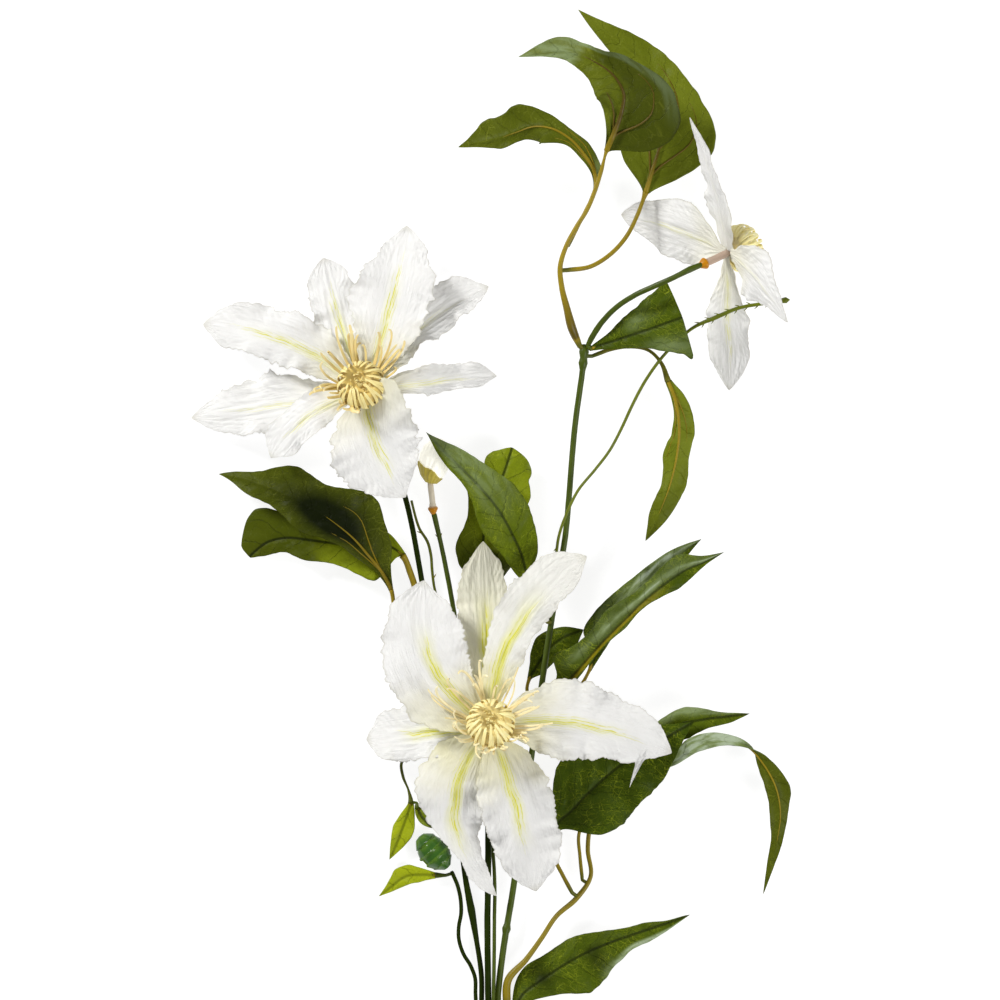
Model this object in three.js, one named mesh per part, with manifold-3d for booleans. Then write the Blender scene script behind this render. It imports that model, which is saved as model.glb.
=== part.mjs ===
// A cut spray of artificial clematis, lying flat and face up, in millimetres.
// +Y runs from the cut end of the stem to the highest leaf and +Z points up, away from the floor.
import * as THREE from 'three';
import Module from 'manifold-3d';

// ---------------------------------------------------------------- shared sizes
const RING = 8;                 // vertices round every blade and every stem
const BLADE_HALF_THICK = 0.5;   // half the thickness of a leaf along its midrib
const PETAL_HALF_THICK = 0.45;  // half the thickness of a petal along its midrib
const SHOULDER = 0.55;          // place of the top shoulders, as a share of the half width
const UNDER_SHOULDER = 0.5;     // the same on the underside, a little nearer the midrib
const SHOULDER_THICK = 0.8;     // thickness at the shoulders, as a share of the midrib's
const STALK_THICKEST = 2.0;     // half the thickness of the thickest round stalk
const CLAW_THICKEST = 0.8;      // half the thickness of a petal's narrow base
const THINNEST_HALF_WIDTH = 0.35;   // the half width of the finest stalk
const TAPER_HALF_WIDTH = 1.2;   // under this half width a blade also grows thinner
const FIRST_RING = 0.6;         // how far from a blade's base its first ring lies, at most
const LAST_RING = 2.2;          // how far from a blade's tip its last ring lies, at most
const FIRST_RING_SHARE = 0.02;  // the same two, as shares of a short blade's length
const LAST_RING_SHARE = 0.035;
const STEM_INSET = 0.4;         // how far from a stem's ends its first and last rings lie
const LOOK_AHEAD = 0.5;         // distance over which a direction along a curve is measured
const WAVES = 15;               // angle in radians that the edge waves run through
const WAVE_LEAD = 1.9;          // how far the right edge's waves lie ahead, in radians
const STALK_HALF_WIDTH = 1.3;   // at or under this half width a blade is a round stalk
const FLAT_HALF_WIDTH = 4.0;    // at or over this half width it has its full flat section
const LEVEL_PITCH = 2.0;        // height between the layers of petals in one flower
const CLAW_RADIUS = 3.4;        // how far from the flower's axis each petal starts
const PETAL_RINGS = 11;         // rings along a petal
const PETAL_RUFFLE = 0.7;       // height of the waves along a petal's edges
const LEAF_RUFFLE = 0.5;        // the same for a leaf
const UP = new THREE.Vector3(0, 0, 1);
const DOWN = new THREE.Vector3(0, 0, -1);

// ---------------------------------------------------------------- where the flowers are
// Each flower: its middle, the way it faces, the way its sleeve runs on behind it, its highest
// layer of petals, and how far its long stamens reach.
const LEFT_FLOWER = { centre: [-53.8, 42, 27], axis: [-0.1, 0.3, 0.95], sleeve: [0.1, -0.3, -0.95],
  topLayer: 2, reach: 15.5 };
const CENTRE_FLOWER = { centre: [-3.7, -91.6, 29], axis: [0, 0.2, 0.98], sleeve: [0, -0.2, -0.98],
  topLayer: 2, reach: 15.5 };
const RIGHT_FLOWER = { centre: [90.6, 98.4, 36], axis: [0.74, 0.24, -0.63],
  sleeve: [-0.78, -0.36, 0.51], topLayer: 0, reach: 14.5 };
const HUB_CLEARANCE = 1.9;      // height of the stamens' hub above the highest layer of petals
const DOME_CLEARANCE = 4;       // the same for the dome of incurved stamens
const NECK_LENGTH = 12;
const NECK_RADIUS = 1.5;
const COLLAR_RADIUS = 2.0;
const DOME_RADIUS = 9.6;
const DOME_HEIGHT = 9;
const DOME_HOLLOW = 0.6;        // height of the floor of the dome's opening, as a share
const DOME_PROFILE = [[0.42, 0], [0.86, 0.12], [1, 0.45], [0.86, 0.8], [0.5, 1], [0.28, 0.82]];
const DOME_COLUMNS = 24;        // corners round the dome, every other one in a groove
const DOME_GROOVE = 0.07;       // depth of those grooves, as a share of the radius
const HUB_RADIUS = 3.4;
const HUB_HEIGHT = 1.6;
const FILAMENTS = 22;           // long thin stamens that radiate from the hub
const FILAMENT_RADIUS = 0.55;
const FILAMENT_START = 2.4;     // how far from the flower's axis the long stamens start
const FILAMENT_BEND = 0.72;     // where they bend upwards, as a share of their reach
const SLEEVE_START = 1.4;       // how far behind a flower's middle its sleeve starts

const PETAL_WHITE = '#f1efe6';
const LEAF_GREEN = '#38571f';
const STEM_GREEN = '#3f5a26';
const STAMEN_CREAM = '#ecdca0';
const NECK_CREAM = '#cdb39a';
const BUD_GREEN = '#3d6b2a';
const BUD_CREAM = '#efe9cf';

const wasm = await Module();
wasm.setup();

// ---------------------------------------------------------------- curves through stations
// Catmull-Rom through rows of numbers, spaced by the distance between their first three.
function alongStations(rows) {
  const knots = [0];
  for (let i = 1; i < rows.length; i += 1) {
    const step = Math.hypot(
      rows[i][0] - rows[i - 1][0], rows[i][1] - rows[i - 1][1], rows[i][2] - rows[i - 1][2]);
    knots.push(knots[i - 1] + step);
  }
  const length = knots[knots.length - 1];
  const slope = rows.map((row, i) => {
    const before = Math.max(i - 1, 0);
    const after = Math.min(i + 1, rows.length - 1);
    return row.map((_, k) => (rows[after][k] - rows[before][k]) / (knots[after] - knots[before]));
  });
  const at = (distance) => {
    let i = 0;
    while (i < rows.length - 2 && knots[i + 1] < distance) i += 1;
    const span = knots[i + 1] - knots[i];
    const u = Math.min(Math.max((distance - knots[i]) / span, 0), 1);
    const h00 = (1 + 2 * u) * (1 - u) * (1 - u);
    const h10 = u * (1 - u) * (1 - u);
    const h01 = u * u * (3 - 2 * u);
    const h11 = u * u * (u - 1);
    return rows[i].map((value, k) => h00 * value + h10 * span * slope[i][k]
      + h01 * rows[i + 1][k] + h11 * span * slope[i + 1][k]);
  };
  return { length, at };
}

// Closes rings of points, base to tip, with one point at each end.
function loft(rings, basePoint, tipPoint) {
  const points = [basePoint, ...rings.flat(), tipPoint];
  const index = [];
  const last = points.length - 1;
  for (let k = 0; k < RING; k += 1) {
    const next = (k + 1) % RING;
    index.push(0, 1 + k, 1 + next);
    for (let r = 0; r < rings.length - 1; r += 1) {
      const low = 1 + r * RING;
      const high = low + RING;
      index.push(low + k, high + next, low + next, low + k, high + k, high + next);
    }
    const top = 1 + (rings.length - 1) * RING;
    index.push(last, top + next, top + k);
  }
  const geometry = new THREE.BufferGeometry();
  const flat = points.flatMap((p) => [p.x, p.y, p.z]);
  geometry.setAttribute('position', new THREE.BufferAttribute(new Float32Array(flat), 3));
  geometry.setIndex(index);
  return geometry;
}

// A blade from rows of [x, y, z, left, right, roll, fold]: left and right are the half widths
// seen by someone walking from base to tip, roll and fold are in degrees. Rows whose half
// widths are small make a round stalk. A last number sweeps the left edge along the blade.
// The face vector is the side the blade's top looks to.
function blade(rows, face, ringCount, halfThick, thickest, ruffle) {
  const full = rows.map((row) => [...row, 0, 0, 0].slice(0, 8));
  const curve = alongStations(full);
  const rings = [];
  const firstRing = Math.min(FIRST_RING, curve.length * FIRST_RING_SHARE);
  const lastRing = curve.length - Math.min(LAST_RING, curve.length * LAST_RING_SHARE);
  for (let r = 0; r < ringCount; r += 1) {
    const share = r / (ringCount - 1);
    const distance = firstRing + (lastRing - firstRing) * share;
    const row = curve.at(distance);
    const ahead = curve.at(Math.min(distance + LOOK_AHEAD, curve.length));
    const behind = curve.at(Math.max(distance - LOOK_AHEAD, 0));
    const along = new THREE.Vector3(
      ahead[0] - behind[0], ahead[1] - behind[1], ahead[2] - behind[2]).normalize();
    const flatAcross = new THREE.Vector3().crossVectors(along, face).normalize();
    const roll = THREE.MathUtils.degToRad(row[5]);
    const across = flatAcross.clone().applyAxisAngle(along, -roll);
    const above = new THREE.Vector3().crossVectors(across, along);
    const left = Math.max(row[3], THINNEST_HALF_WIDTH);
    const right = Math.max(row[4], THINNEST_HALF_WIDTH);
    const mean = (left + right) / 2;
    const flatness = THREE.MathUtils.smoothstep(mean, STALK_HALF_WIDTH, FLAT_HALF_WIDTH);
    const taper = Math.min(1, mean / TAPER_HALF_WIDTH);
    const thick = Math.min(thickest,
      THREE.MathUtils.lerp(mean, halfThick * taper, flatness));
    const foldSlope = Math.tan(THREE.MathUtils.degToRad(row[6])) * flatness;
    const wave = ruffle * flatness * Math.sin(share * Math.PI);
    const place = (side, height) => {
      const half = side < 0 ? left : right;
      const phase = side < 0 ? 0 : WAVE_LEAD;
      const lift = foldSlope * Math.abs(side) * half
        + wave * side * side * Math.sin(share * WAVES + phase);
      return new THREE.Vector3(row[0], row[1], row[2])
        .addScaledVector(across, side * half)
        .addScaledVector(along, side < 0 ? -side * row[7] : 0)
        .addScaledVector(above, lift + height * thick);
    };
    rings.push([
      place(-1, 0), place(-UNDER_SHOULDER, -SHOULDER_THICK), place(0, -1),
      place(UNDER_SHOULDER, -SHOULDER_THICK), place(1, 0), place(SHOULDER, SHOULDER_THICK),
      place(0, 1), place(-SHOULDER, SHOULDER_THICK),
    ]);
  }
  const base = new THREE.Vector3(full[0][0], full[0][1], full[0][2]);
  const end = full[full.length - 1];
  return loft(rings, base, new THREE.Vector3(end[0], end[1], end[2]));
}

// A stem from rows of [x, y, z, radius].
function stem(rows, ringCount) {
  const curve = alongStations(rows);
  const rings = [];
  for (let r = 0; r < ringCount; r += 1) {
    const distance = STEM_INSET
      + (curve.length - 2 * STEM_INSET) * (r / (ringCount - 1));
    rings.push(stemRing(curve, distance));
  }
  const first = rows[0];
  const last = rows[rows.length - 1];
  return loft(rings, new THREE.Vector3(first[0], first[1], first[2]),
    new THREE.Vector3(last[0], last[1], last[2]));
}

function stemRing(curve, distance) {
  const row = curve.at(distance);
  const ahead = curve.at(Math.min(distance + LOOK_AHEAD, curve.length));
  const behind = curve.at(Math.max(distance - LOOK_AHEAD, 0));
  const along = new THREE.Vector3(
    ahead[0] - behind[0], ahead[1] - behind[1], ahead[2] - behind[2]).normalize();
  const across = new THREE.Vector3().crossVectors(along, UP).normalize();
  const above = new THREE.Vector3().crossVectors(across, along);
  const ring = [];
  for (let k = 0; k < RING; k += 1) {
    const angle = -(k / RING) * Math.PI * 2;
    ring.push(new THREE.Vector3(row[0], row[1], row[2])
      .addScaledVector(across, -Math.cos(angle) * row[3])
      .addScaledVector(above, Math.sin(angle) * row[3]));
  }
  return ring;
}

// A stem whose rings sit exactly on its rows, for short steps such as nodes and buds.
function turned(rows) {
  const curve = alongStations(rows);
  const rings = [];
  let distance = 0;
  for (let r = 1; r < rows.length - 1; r += 1) {
    distance += Math.hypot(rows[r][0] - rows[r - 1][0], rows[r][1] - rows[r - 1][1],
      rows[r][2] - rows[r - 1][2]);
    rings.push(stemRing(curve, distance));
  }
  const first = rows[0];
  const last = rows[rows.length - 1];
  return loft(rings, new THREE.Vector3(first[0], first[1], first[2]),
    new THREE.Vector3(last[0], last[1], last[2]));
}

// ---------------------------------------------------------------- petals
// Each petal: its tip, the bow of its midline to the right, the arch of its midline upwards,
// its left and right half widths, its roll and fold in degrees, and its layer in the flower.
function petal(flower, spec) {
  const centre = new THREE.Vector3(...flower.centre);
  const axis = new THREE.Vector3(...flower.axis).normalize();
  const start = centre.clone().addScaledVector(axis, spec.layer * LEVEL_PITCH);
  const tip = new THREE.Vector3(...spec.tip);
  const straight = tip.clone().sub(start);
  const right = new THREE.Vector3().crossVectors(straight, axis).normalize();
  const bend = start.clone().addScaledVector(straight, 0.5)
    .addScaledVector(right, 2 * spec.bow).addScaledVector(axis, 2 * spec.arch);
  const claw = bend.clone().sub(start);
  claw.addScaledVector(axis, -claw.dot(axis)).setLength(CLAW_RADIUS);
  start.add(claw);
  const shape = spec.shape ?? SPINDLE;
  const rows = SHAPE_PLACES.map((u, i) => {
    const point = start.clone().multiplyScalar((1 - u) * (1 - u))
      .addScaledVector(bend, 2 * u * (1 - u)).addScaledVector(tip, u * u);
    const roll = spec.roll * u;
    return [point.x, point.y, point.z, shape[i] * spec.left, shape[i] * spec.right,
      roll, spec.fold];
  });
  return blade(rows, axis, PETAL_RINGS, PETAL_HALF_THICK, CLAW_THICKEST, PETAL_RUFFLE);
}

// Petal outlines: half widths at the places along a petal that SHAPE_PLACES gives.
const SHAPE_PLACES = [0, 0.12, 0.3, 0.45, 0.58, 0.76, 0.91, 1];
const SPINDLE = [0.13, 0.34, 0.72, 0.96, 1, 0.8, 0.42, 0];
const BLUNT = [0.14, 0.5, 0.92, 1, 1, 0.94, 0.7, 0];
const SPOON = [0.2, 0.52, 0.84, 0.98, 1, 0.74, 0.34, 0];
const WIDE_BASE = [0.14, 0.6, 0.98, 1, 0.93, 0.76, 0.44, 0];
const TAPERING = [0.16, 0.66, 1, 0.96, 0.8, 0.5, 0.26, 0];

const LEFT_PETALS = [
  { tip: [-119.2, 70.4, 9], bow: 6, arch: 2, left: 9.5, right: 11.6, roll: 0, fold: 8, layer: 2,
    shape: BLUNT },
  { tip: [-124, 32.8, 4], bow: 1, arch: -1.5, left: 11.5, right: 13.5, roll: 0, fold: -3, layer: 0 },
  { tip: [-91.6, 16.8, 27], bow: 4, arch: 3, left: 7, right: 8.5, roll: 0, fold: 6, layer: 1,
    shape: BLUNT },
  { tip: [-37.6, 1, 33], bow: 3, arch: 2, left: 17.5, right: 18.5, roll: 0, fold: 5, layer: 2,
    shape: SPOON },
  { tip: [-1.2, 49.6, 20], bow: 0, arch: 2, left: 7, right: 4, roll: -30, fold: 8, layer: 1,
    shape: BLUNT },
  { tip: [-4.4, 85.6, 9], bow: -5, arch: 1, left: 12, right: 7.5, roll: 0, fold: 8, layer: 0.5,
    shape: [0.16, 0.6, 0.95, 1, 0.98, 0.88, 0.62, 0] },
  { tip: [-37.2, 110, 12], bow: 1.5, arch: 1, left: 15.5, right: 17, roll: 0, fold: 6,
    layer: 2 },
  { tip: [-70.8, 97.2, 6], bow: -1, arch: 0, left: 10, right: 9, roll: 0, fold: 4, layer: 0,
    shape: BLUNT },
];

const CENTRE_PETALS = [
  { tip: [-30.4, -32, 24], bow: -10, arch: 2, left: 20, right: 18, roll: 0, fold: 6, layer: 2,
    shape: WIDE_BASE },
  { tip: [-6.8, -16.4, 12.4], bow: 0, arch: -2, left: 11, right: 9.5, roll: 0, fold: 0, layer: 0,
    shape: [0.15, 0.4, 0.7, 0.86, 1, 0.92, 0.56, 0] },
  { tip: [34.8, -22.4, 29], bow: -10, arch: 1.5, left: 12, right: 8, roll: 0, fold: 6, layer: 1,
    shape: BLUNT },
  { tip: [68.8, -101.2, 22], bow: -6, arch: 1, left: 16.5, right: 14.5, roll: 0, fold: 4,
    layer: 2, shape: WIDE_BASE },
  { tip: [14.4, -156.8, 15], bow: -1, arch: 2, left: 15, right: 14, roll: 0, fold: 6, layer: 2,
    shape: [0.14, 0.56, 0.96, 1, 1, 0.86, 0.5, 0] },
  { tip: [-1.2, -158.8, 11], bow: 15, arch: 0, left: 12, right: 17, roll: 0, fold: 4, layer: 1,
    shape: TAPERING },
  { tip: [-53.6, -96, 11], bow: 1, arch: -1, left: 11, right: 11.5, roll: 0, fold: 2, layer: 0,
    shape: BLUNT },
];

const RIGHT_PETALS = [
  { tip: [75.4, 152.2, 50], bow: -3, arch: 0, left: 6, right: 9, roll: 10, fold: 6,
    layer: 0, shape: [0.4, 0.8, 1, 0.86, 0.66, 0.46, 0.24, 0] },
  { tip: [48.6, 114.6, 3], bow: -1.5, arch: 1, left: 12.5, right: 13.5, roll: 0, fold: 4, layer: 0,
    shape: [0.14, 0.5, 1, 1, 0.9, 0.66, 0.4, 0] },
  { tip: [92, 44, 3], bow: 0, arch: 0, left: 10, right: 9.5, roll: 32, fold: 3, layer: 0,
    shape: [0.14, 0.44, 0.82, 1, 1, 0.82, 0.45, 0] },
  { tip: [114.2, 70.4, 58.6], bow: 4.5, arch: -2, left: 11.5, right: 11, roll: 0, fold: 4, layer: 0,
    shape: [0.2, 0.6, 0.96, 1, 0.84, 0.48, 0.22, 0] },
];

// ---------------------------------------------------------------- leaves, stalk included
const LEAVES = {
  upper_right_leaf: { under: true, rings: 15, rows: [
    [26, 91.8, 28, 0.9, 0.9], [32, 92, 27, 0.9, 0.9], [40, 95.2, 25, 0.9, 0.9],
    [47.2, 101.2, 23, 0.9, 0.9], [52.4, 108.4, 21, 0.9, 0.9], [56.8, 118.8, 20, 1, 1],
    [58.8, 124.8, 20, 2, 2.5], [61.2, 132.8, 19, 11.5, 12.5], [64.4, 144, 17, 18, 18.5],
    [65.6, 155.2, 15, 20, 18.5], [62.4, 167.2, 12, 16, 12.5], [54.4, 177.6, 10, 10, 7],
    [42.4, 187.6, 8, 4, 4], [31.2, 196.8, 7, 0, 0]] },
  upper_centre_leaf: { under: true, rings: 20, rows: [
    [31.9, 61.6, 21.5, 1, 1], [30, 65.2, 24, 1.9, 1.9], [28.4, 70, 26, 1.8, 1.8],
    [25.6, 81.2, 28, 1.2, 1.2], [24, 88.8, 29, 1.1, 1.1], [24.4, 95.2, 30, 1, 1],
    [28, 104.8, 31, 0.9, 0.9], [34.4, 115.2, 32, 0.9, 0.9], [39.2, 127.2, 33, 0.9, 0.9],
    [42.4, 139, 34, 0.9, 0.9], [44, 142.2, 35, 1.5, 2.5], [46, 147.6, 36.6, 4, 18, 0, 0, -2.5],
    [48.2, 153.6, 39, 7.5, 23, 0, 0, -1], [49.3, 159.6, 41, 10.5, 23, 0, 0, -1],
    [48.6, 164.4, 42, 11, 15.5], [44.6, 169.6, 43, 10.5, 9],
    [36, 175.4, 41, 6, 5], [24, 179.4, 35, 3.4, 5.5], [7.2, 177, 27, 0, 0]] },
  upper_left_leaf: { under: true, rings: 13, rows: [
    [27.2, 101.6, 28.2, 0.8, 0.8], [32, 111.2, 27.5, 0.8, 0.8], [36.8, 120.8, 28, 0.8, 0.8],
    [38.6, 126.4, 28.5, 1, 1], [37.6, 131.2, 29, 1.4, 3.4], [34.4, 136.8, 30, 1.8, 4],
    [29.6, 142.8, 31, 3, 3], [22, 147.6, 31, 6, 5], [16.8, 149.6, 30, 7, 6],
    [7.6, 147.2, 27, 4.5, 10.5], [-1.2, 144.4, 23, 3.5, 8.5], [-10, 142.8, 19, 2, 4],
    [-16.8, 141.2, 16, 0, 0]] },
  folded_leaf: { rings: 11, rows: [
    [36.4, 60.4, 22, 0.8, 0.8], [38.4, 61.4, 23, 1.4, 1.4, 0, -6],
    [44, 63.1, 26, 3.6, 2.6, 0, -6], [51.2, 65.4, 30, 6.6, 5.4, 0, -6],
    [56, 67, 33, 9, 7.8, 0, -6], [62, 69, 35, 13.4, 10.6, 0, -6],
    [68, 71.2, 36.4, 15.6, 13.2, 0, -6], [71.4, 72.4, 37, 15.2, 14.6, 0, -6],
    [72.8, 72.9, 37.2, 15, 14.6, 0, -6]] },
  hanging_leaf: { under: true, rings: 15, rows: [
    [36.8, 57.6, 18, 0.8, 0.8], [44.8, 60.4, 18, 0.8, 0.8], [54.4, 61.2, 19, 0.7, 0.7],
    [62, 58.4, 19.5, 0.7, 0.7], [65.6, 52.4, 20, 0.9, 0.9], [67.2, 47.6, 20, 1.5, 1.2],
    [70, 40, 20, 4.5, 1.4, 0, 20], [71.6, 28.8, 19, 5.5, 2.5, 0, 30],
    [70.8, 18, 17, 6, 4.8, 0, 30], [68, 6, 14, 6, 4.2, 0, 30],
    [64, -4.8, 10, 4.4, 3.4, 0, 20], [60.4, -12.8, 6, 1.6, 1.8], [58.4, -16.4, 3, 0, 0]] },
  left_leaf: { under: true, rings: 14, rows: [
    [-29.8, -56.8, 8, 0.9, 0.9], [-36, -52.8, 9, 0.9, 0.9], [-41.2, -46.8, 10, 0.9, 0.9],
    [-42.8, -38.4, 12, 0.9, 0.9], [-46, -30.8, 14, 1.5, 2], [-51.2, -24, 16, 3.4, 11],
    [-58, -16, 18, 5, 16], [-67.2, -8.4, 20, 9.5, 14.4], [-77.2, -2, 20, 9, 12.4],
    [-88, 3.2, 18, 8, 10], [-99.2, 7.6, 14, 5, 4.5], [-106.8, 9.6, 10, 2.4, 2],
    [-112.8, 10.4, 7, 0, 0]] },
  left_back_leaf: { rings: 12, rows: [
    [-32.4, -45.6, 5.5, 0.9, 0.9], [-34.4, -33.2, 7, 1.4, 1.4], [-38, -25.2, 9, 1.3, 1.3],
    [-40.4, -20, 10, 3, 2], [-46, -18, 10, 12, 5], [-60, -18, 9, 11, 8],
    [-74, -16.4, 8, 7.6, 10], [-86, -15.2, 6, 6, 12], [-94, -17.2, 4, 6, 13],
    [-98, -20, 2.5, 4, 9], [-100.4, -23.2, 1.5, 0, 0]] },
  middle_leaf: { rings: 13, rows: [
    [19, -48.8, 12, 0.9, 0.9], [14.4, -41.2, 15, 0.9, 0.9], [11.6, -34, 18, 1, 1],
    [10.8, -30, 19, 3.5, 2], [8.4, -21.2, 22, 7.2, 7.4], [4.8, -13.6, 24, 9.5, 11],
    [0, -4.8, 26, 9.2, 10.4], [-6.4, 3.2, 27, 6.5, 9.6], [-13.6, 10.8, 27, 4, 8.2],
    [-20.8, 17.6, 26, 3, 5], [-25.6, 22.8, 24.5, 1.3, 1.8], [-29.6, 27.2, 23, 0, 0]] },
  middle_back_leaf: { rings: 11, rows: [
    [-14.8, -54.4, 6, 0.8, 0.8], [-9.6, -46, 6.5, 0.9, 0.9], [-5.2, -37.6, 7, 3, 3.5],
    [-6.4, -28, 8, 7.6, 11], [-6.8, -18, 9, 10, 11], [-5.6, -8, 10, 9, 11],
    [-2, 2, 11, 10.5, 12], [1.2, 10, 11, 9, 10.5], [3.6, 16.8, 10, 5.5, 6.5],
    [4.8, 21.2, 9.5, 0, 0]] },
  long_right_leaf: { rings: 13, rows: [
    [18.4, -76.6, 10, 0.9, 0.9], [22, -76.4, 12, 1, 1], [26, -74, 14, 5, 2, 0, 10],
    [30, -69.6, 16, 10, 2, 0, 14], [36, -62.8, 19, 8.5, 1.7, 0, 14],
    [42.8, -55.2, 22, 7.5, 1.6, 0, 14], [50, -48, 24, 7, 1.7, 0, 14],
    [57.2, -40.8, 25, 5, 2, 0, 10], [64, -35.2, 25, 6.5, 4, 0, 10],
    [72.8, -28.8, 23, 6.5, 3.8, 0, 8], [80.8, -25.2, 20, 3, 1.6], [89.8, -20.8, 16, 0, 0]] },
  long_right_back_leaf: { rings: 13, rows: [
    [17.9, -81.8, 6.5, 0.8, 0.8], [28, -79, 6, 0.8, 0.8], [34, -72, 6, 0.8, 0.8],
    [36.8, -66, 7, 1, 1], [39.2, -60, 9, 4, 2.5], [40.8, -54, 11, 8.5, 5],
    [44.8, -46.8, 13, 7.5, 5], [51.2, -40, 14, 5, 5], [59.2, -32, 15, 4.5, 5],
    [67.2, -25.2, 15, 4.5, 4], [74.4, -19.6, 14, 1.8, 2], [80.8, -15.6, 12, 0, 0]] },
  small_right_leaf: { rings: 9, rows: [
    [14, -80.6, 6.3, 0.7, 0.7], [11, -77.5, 5, 0.7, 0.7], [12, -71, 4, 1, 1],
    [14.4, -67.2, 3.5, 3, 4], [19.2, -60, 3, 6, 6], [24, -56, 3, 5, 6],
    [28.8, -53.6, 3, 3.2, 5], [33.6, -52, 3, 0, 0]] },
  broad_right_leaf: { rings: 14, rows: [
    [28.9, -157.4, 9, 0.8, 0.8], [26, -152, 10, 0.8, 0.8], [22, -144, 11, 0.8, 0.8],
    [20.4, -136.8, 11.5, 0.8, 0.8], [22.4, -130.4, 12, 2.5, 2.5], [27.2, -126, 13, 9, 12],
    [34, -118.8, 14.5, 16, 18.5], [42, -111.2, 15.5, 17, 17], [51.2, -104, 16, 15, 16],
    [60.8, -98, 16, 9, 13], [70, -93.2, 15, 4, 5.5], [77.6, -88.8, 14, 0, 0]] },
  far_right_leaf: { rings: 13, rows: [
    [33, -152.4, 6, 0.7, 0.7], [32.4, -144.8, 6, 0.7, 0.7], [31.2, -136, 6, 0.7, 0.7],
    [38, -120, 7, 0.7, 0.7], [50, -106, 8, 0.8, 0.8], [58, -98.8, 9, 2, 1.5],
    [67.2, -92, 10, 6.5, 5], [76, -88.8, 11, 5, 5.5], [84.8, -87.6, 11, 3.6, 4],
    [92.8, -86.4, 10, 1.2, 2.4], [100.2, -85.6, 8, 0, 0]] },
  drooping_leaf: { rings: 22, rows: [
    [2.7, -203.8, 5, 1.5, 1.5], [2.8, -194, 5, 1.6, 1.6], [6.4, -188, 5.5, 1.3, 1.3],
    [11.2, -183.6, 6, 1.1, 1.1], [17.6, -174.4, 6.5, 1, 1], [24, -165.2, 7, 1, 1],
    [30.8, -159.6, 7, 1.1, 1.1], [35.2, -154.4, 7, 0.9, 0.9], [36.8, -146.4, 7, 0.9, 0.9],
    [34.8, -136, 7.5, 0.9, 0.9], [42, -120, 8, 0.9, 0.9], [56, -110, 9, 0.9, 0.9],
    [67.2, -106, 11, 2, 1.5], [74, -100.8, 13, 3.5, 3], [84, -96.4, 15, 3.5, 2.5],
    [94, -96.4, 16, 2.2, 2.2, 30], [100.8, -99.2, 16, 1.6, 1.6, 90],
    [106, -106, 15, 2.5, 3.5, 150], [110.8, -116, 13, 4.5, 5, 180],
    [112.4, -127.2, 10, 4.4, 3, 180], [110.8, -138, 7, 2, 2.4, 180],
    [108, -148.8, 4.5, 1.6, 1, 180], [105.6, -158.4, 2.5, 0, 0, 180]] },
  bottom_leaf: { rings: 11, rows: [
    [5.6, -206, 3, 1, 1], [6.6, -201, 3, 1.5, 1.2], [11.2, -196.8, 3, 7, 6],
    [19.2, -190.8, 3.5, 8.5, 9], [30, -184, 4, 8, 14], [40, -179.2, 4.5, 6, 13],
    [48.8, -176, 4, 4.4, 6], [58, -172.8, 3.5, 3.2, 4.5], [67.2, -169.6, 2.5, 0.8, 3],
    [76.4, -166.4, 1.5, 0, 0]] },
  bud_leaf_upper: { rings: 11, rows: [
    [-23.6, -98, 6, 0.6, 0.6], [-32, -101, 6, 0.6, 0.6], [-39.2, -104.8, 6, 0.6, 0.6],
    [-38.4, -112.8, 6, 0.6, 0.6], [-35.6, -119.2, 6, 0.6, 0.6], [-36.8, -124.8, 6, 2.5, 2],
    [-39.2, -132, 5.5, 4.3, 4.2], [-42, -139.2, 4, 2.6, 2.2], [-44.4, -144.4, 2.5, 0, 0]] },
  bud_leaf_inner: { rings: 7, rows: [
    [-33.6, -121.4, 6, 0.5, 0.5], [-32, -126, 7.5, 2.4, 2], [-29.6, -129, 9.5, 2, 2],
    [-27.2, -131.4, 12, 0, 0]] },
  bud_leaf_lower: { rings: 9, rows: [
    [-21.8, -150.6, 4, 0.6, 0.6], [-25.2, -150.6, 3, 1.2, 1], [-31.2, -150.4, 2.5, 2.6, 2.6],
    [-38, -151.2, 2, 3.2, 4.2], [-44, -155.6, 2, 1.8, 2], [-48.8, -159.2, 2, 0, 0]] },
};

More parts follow.
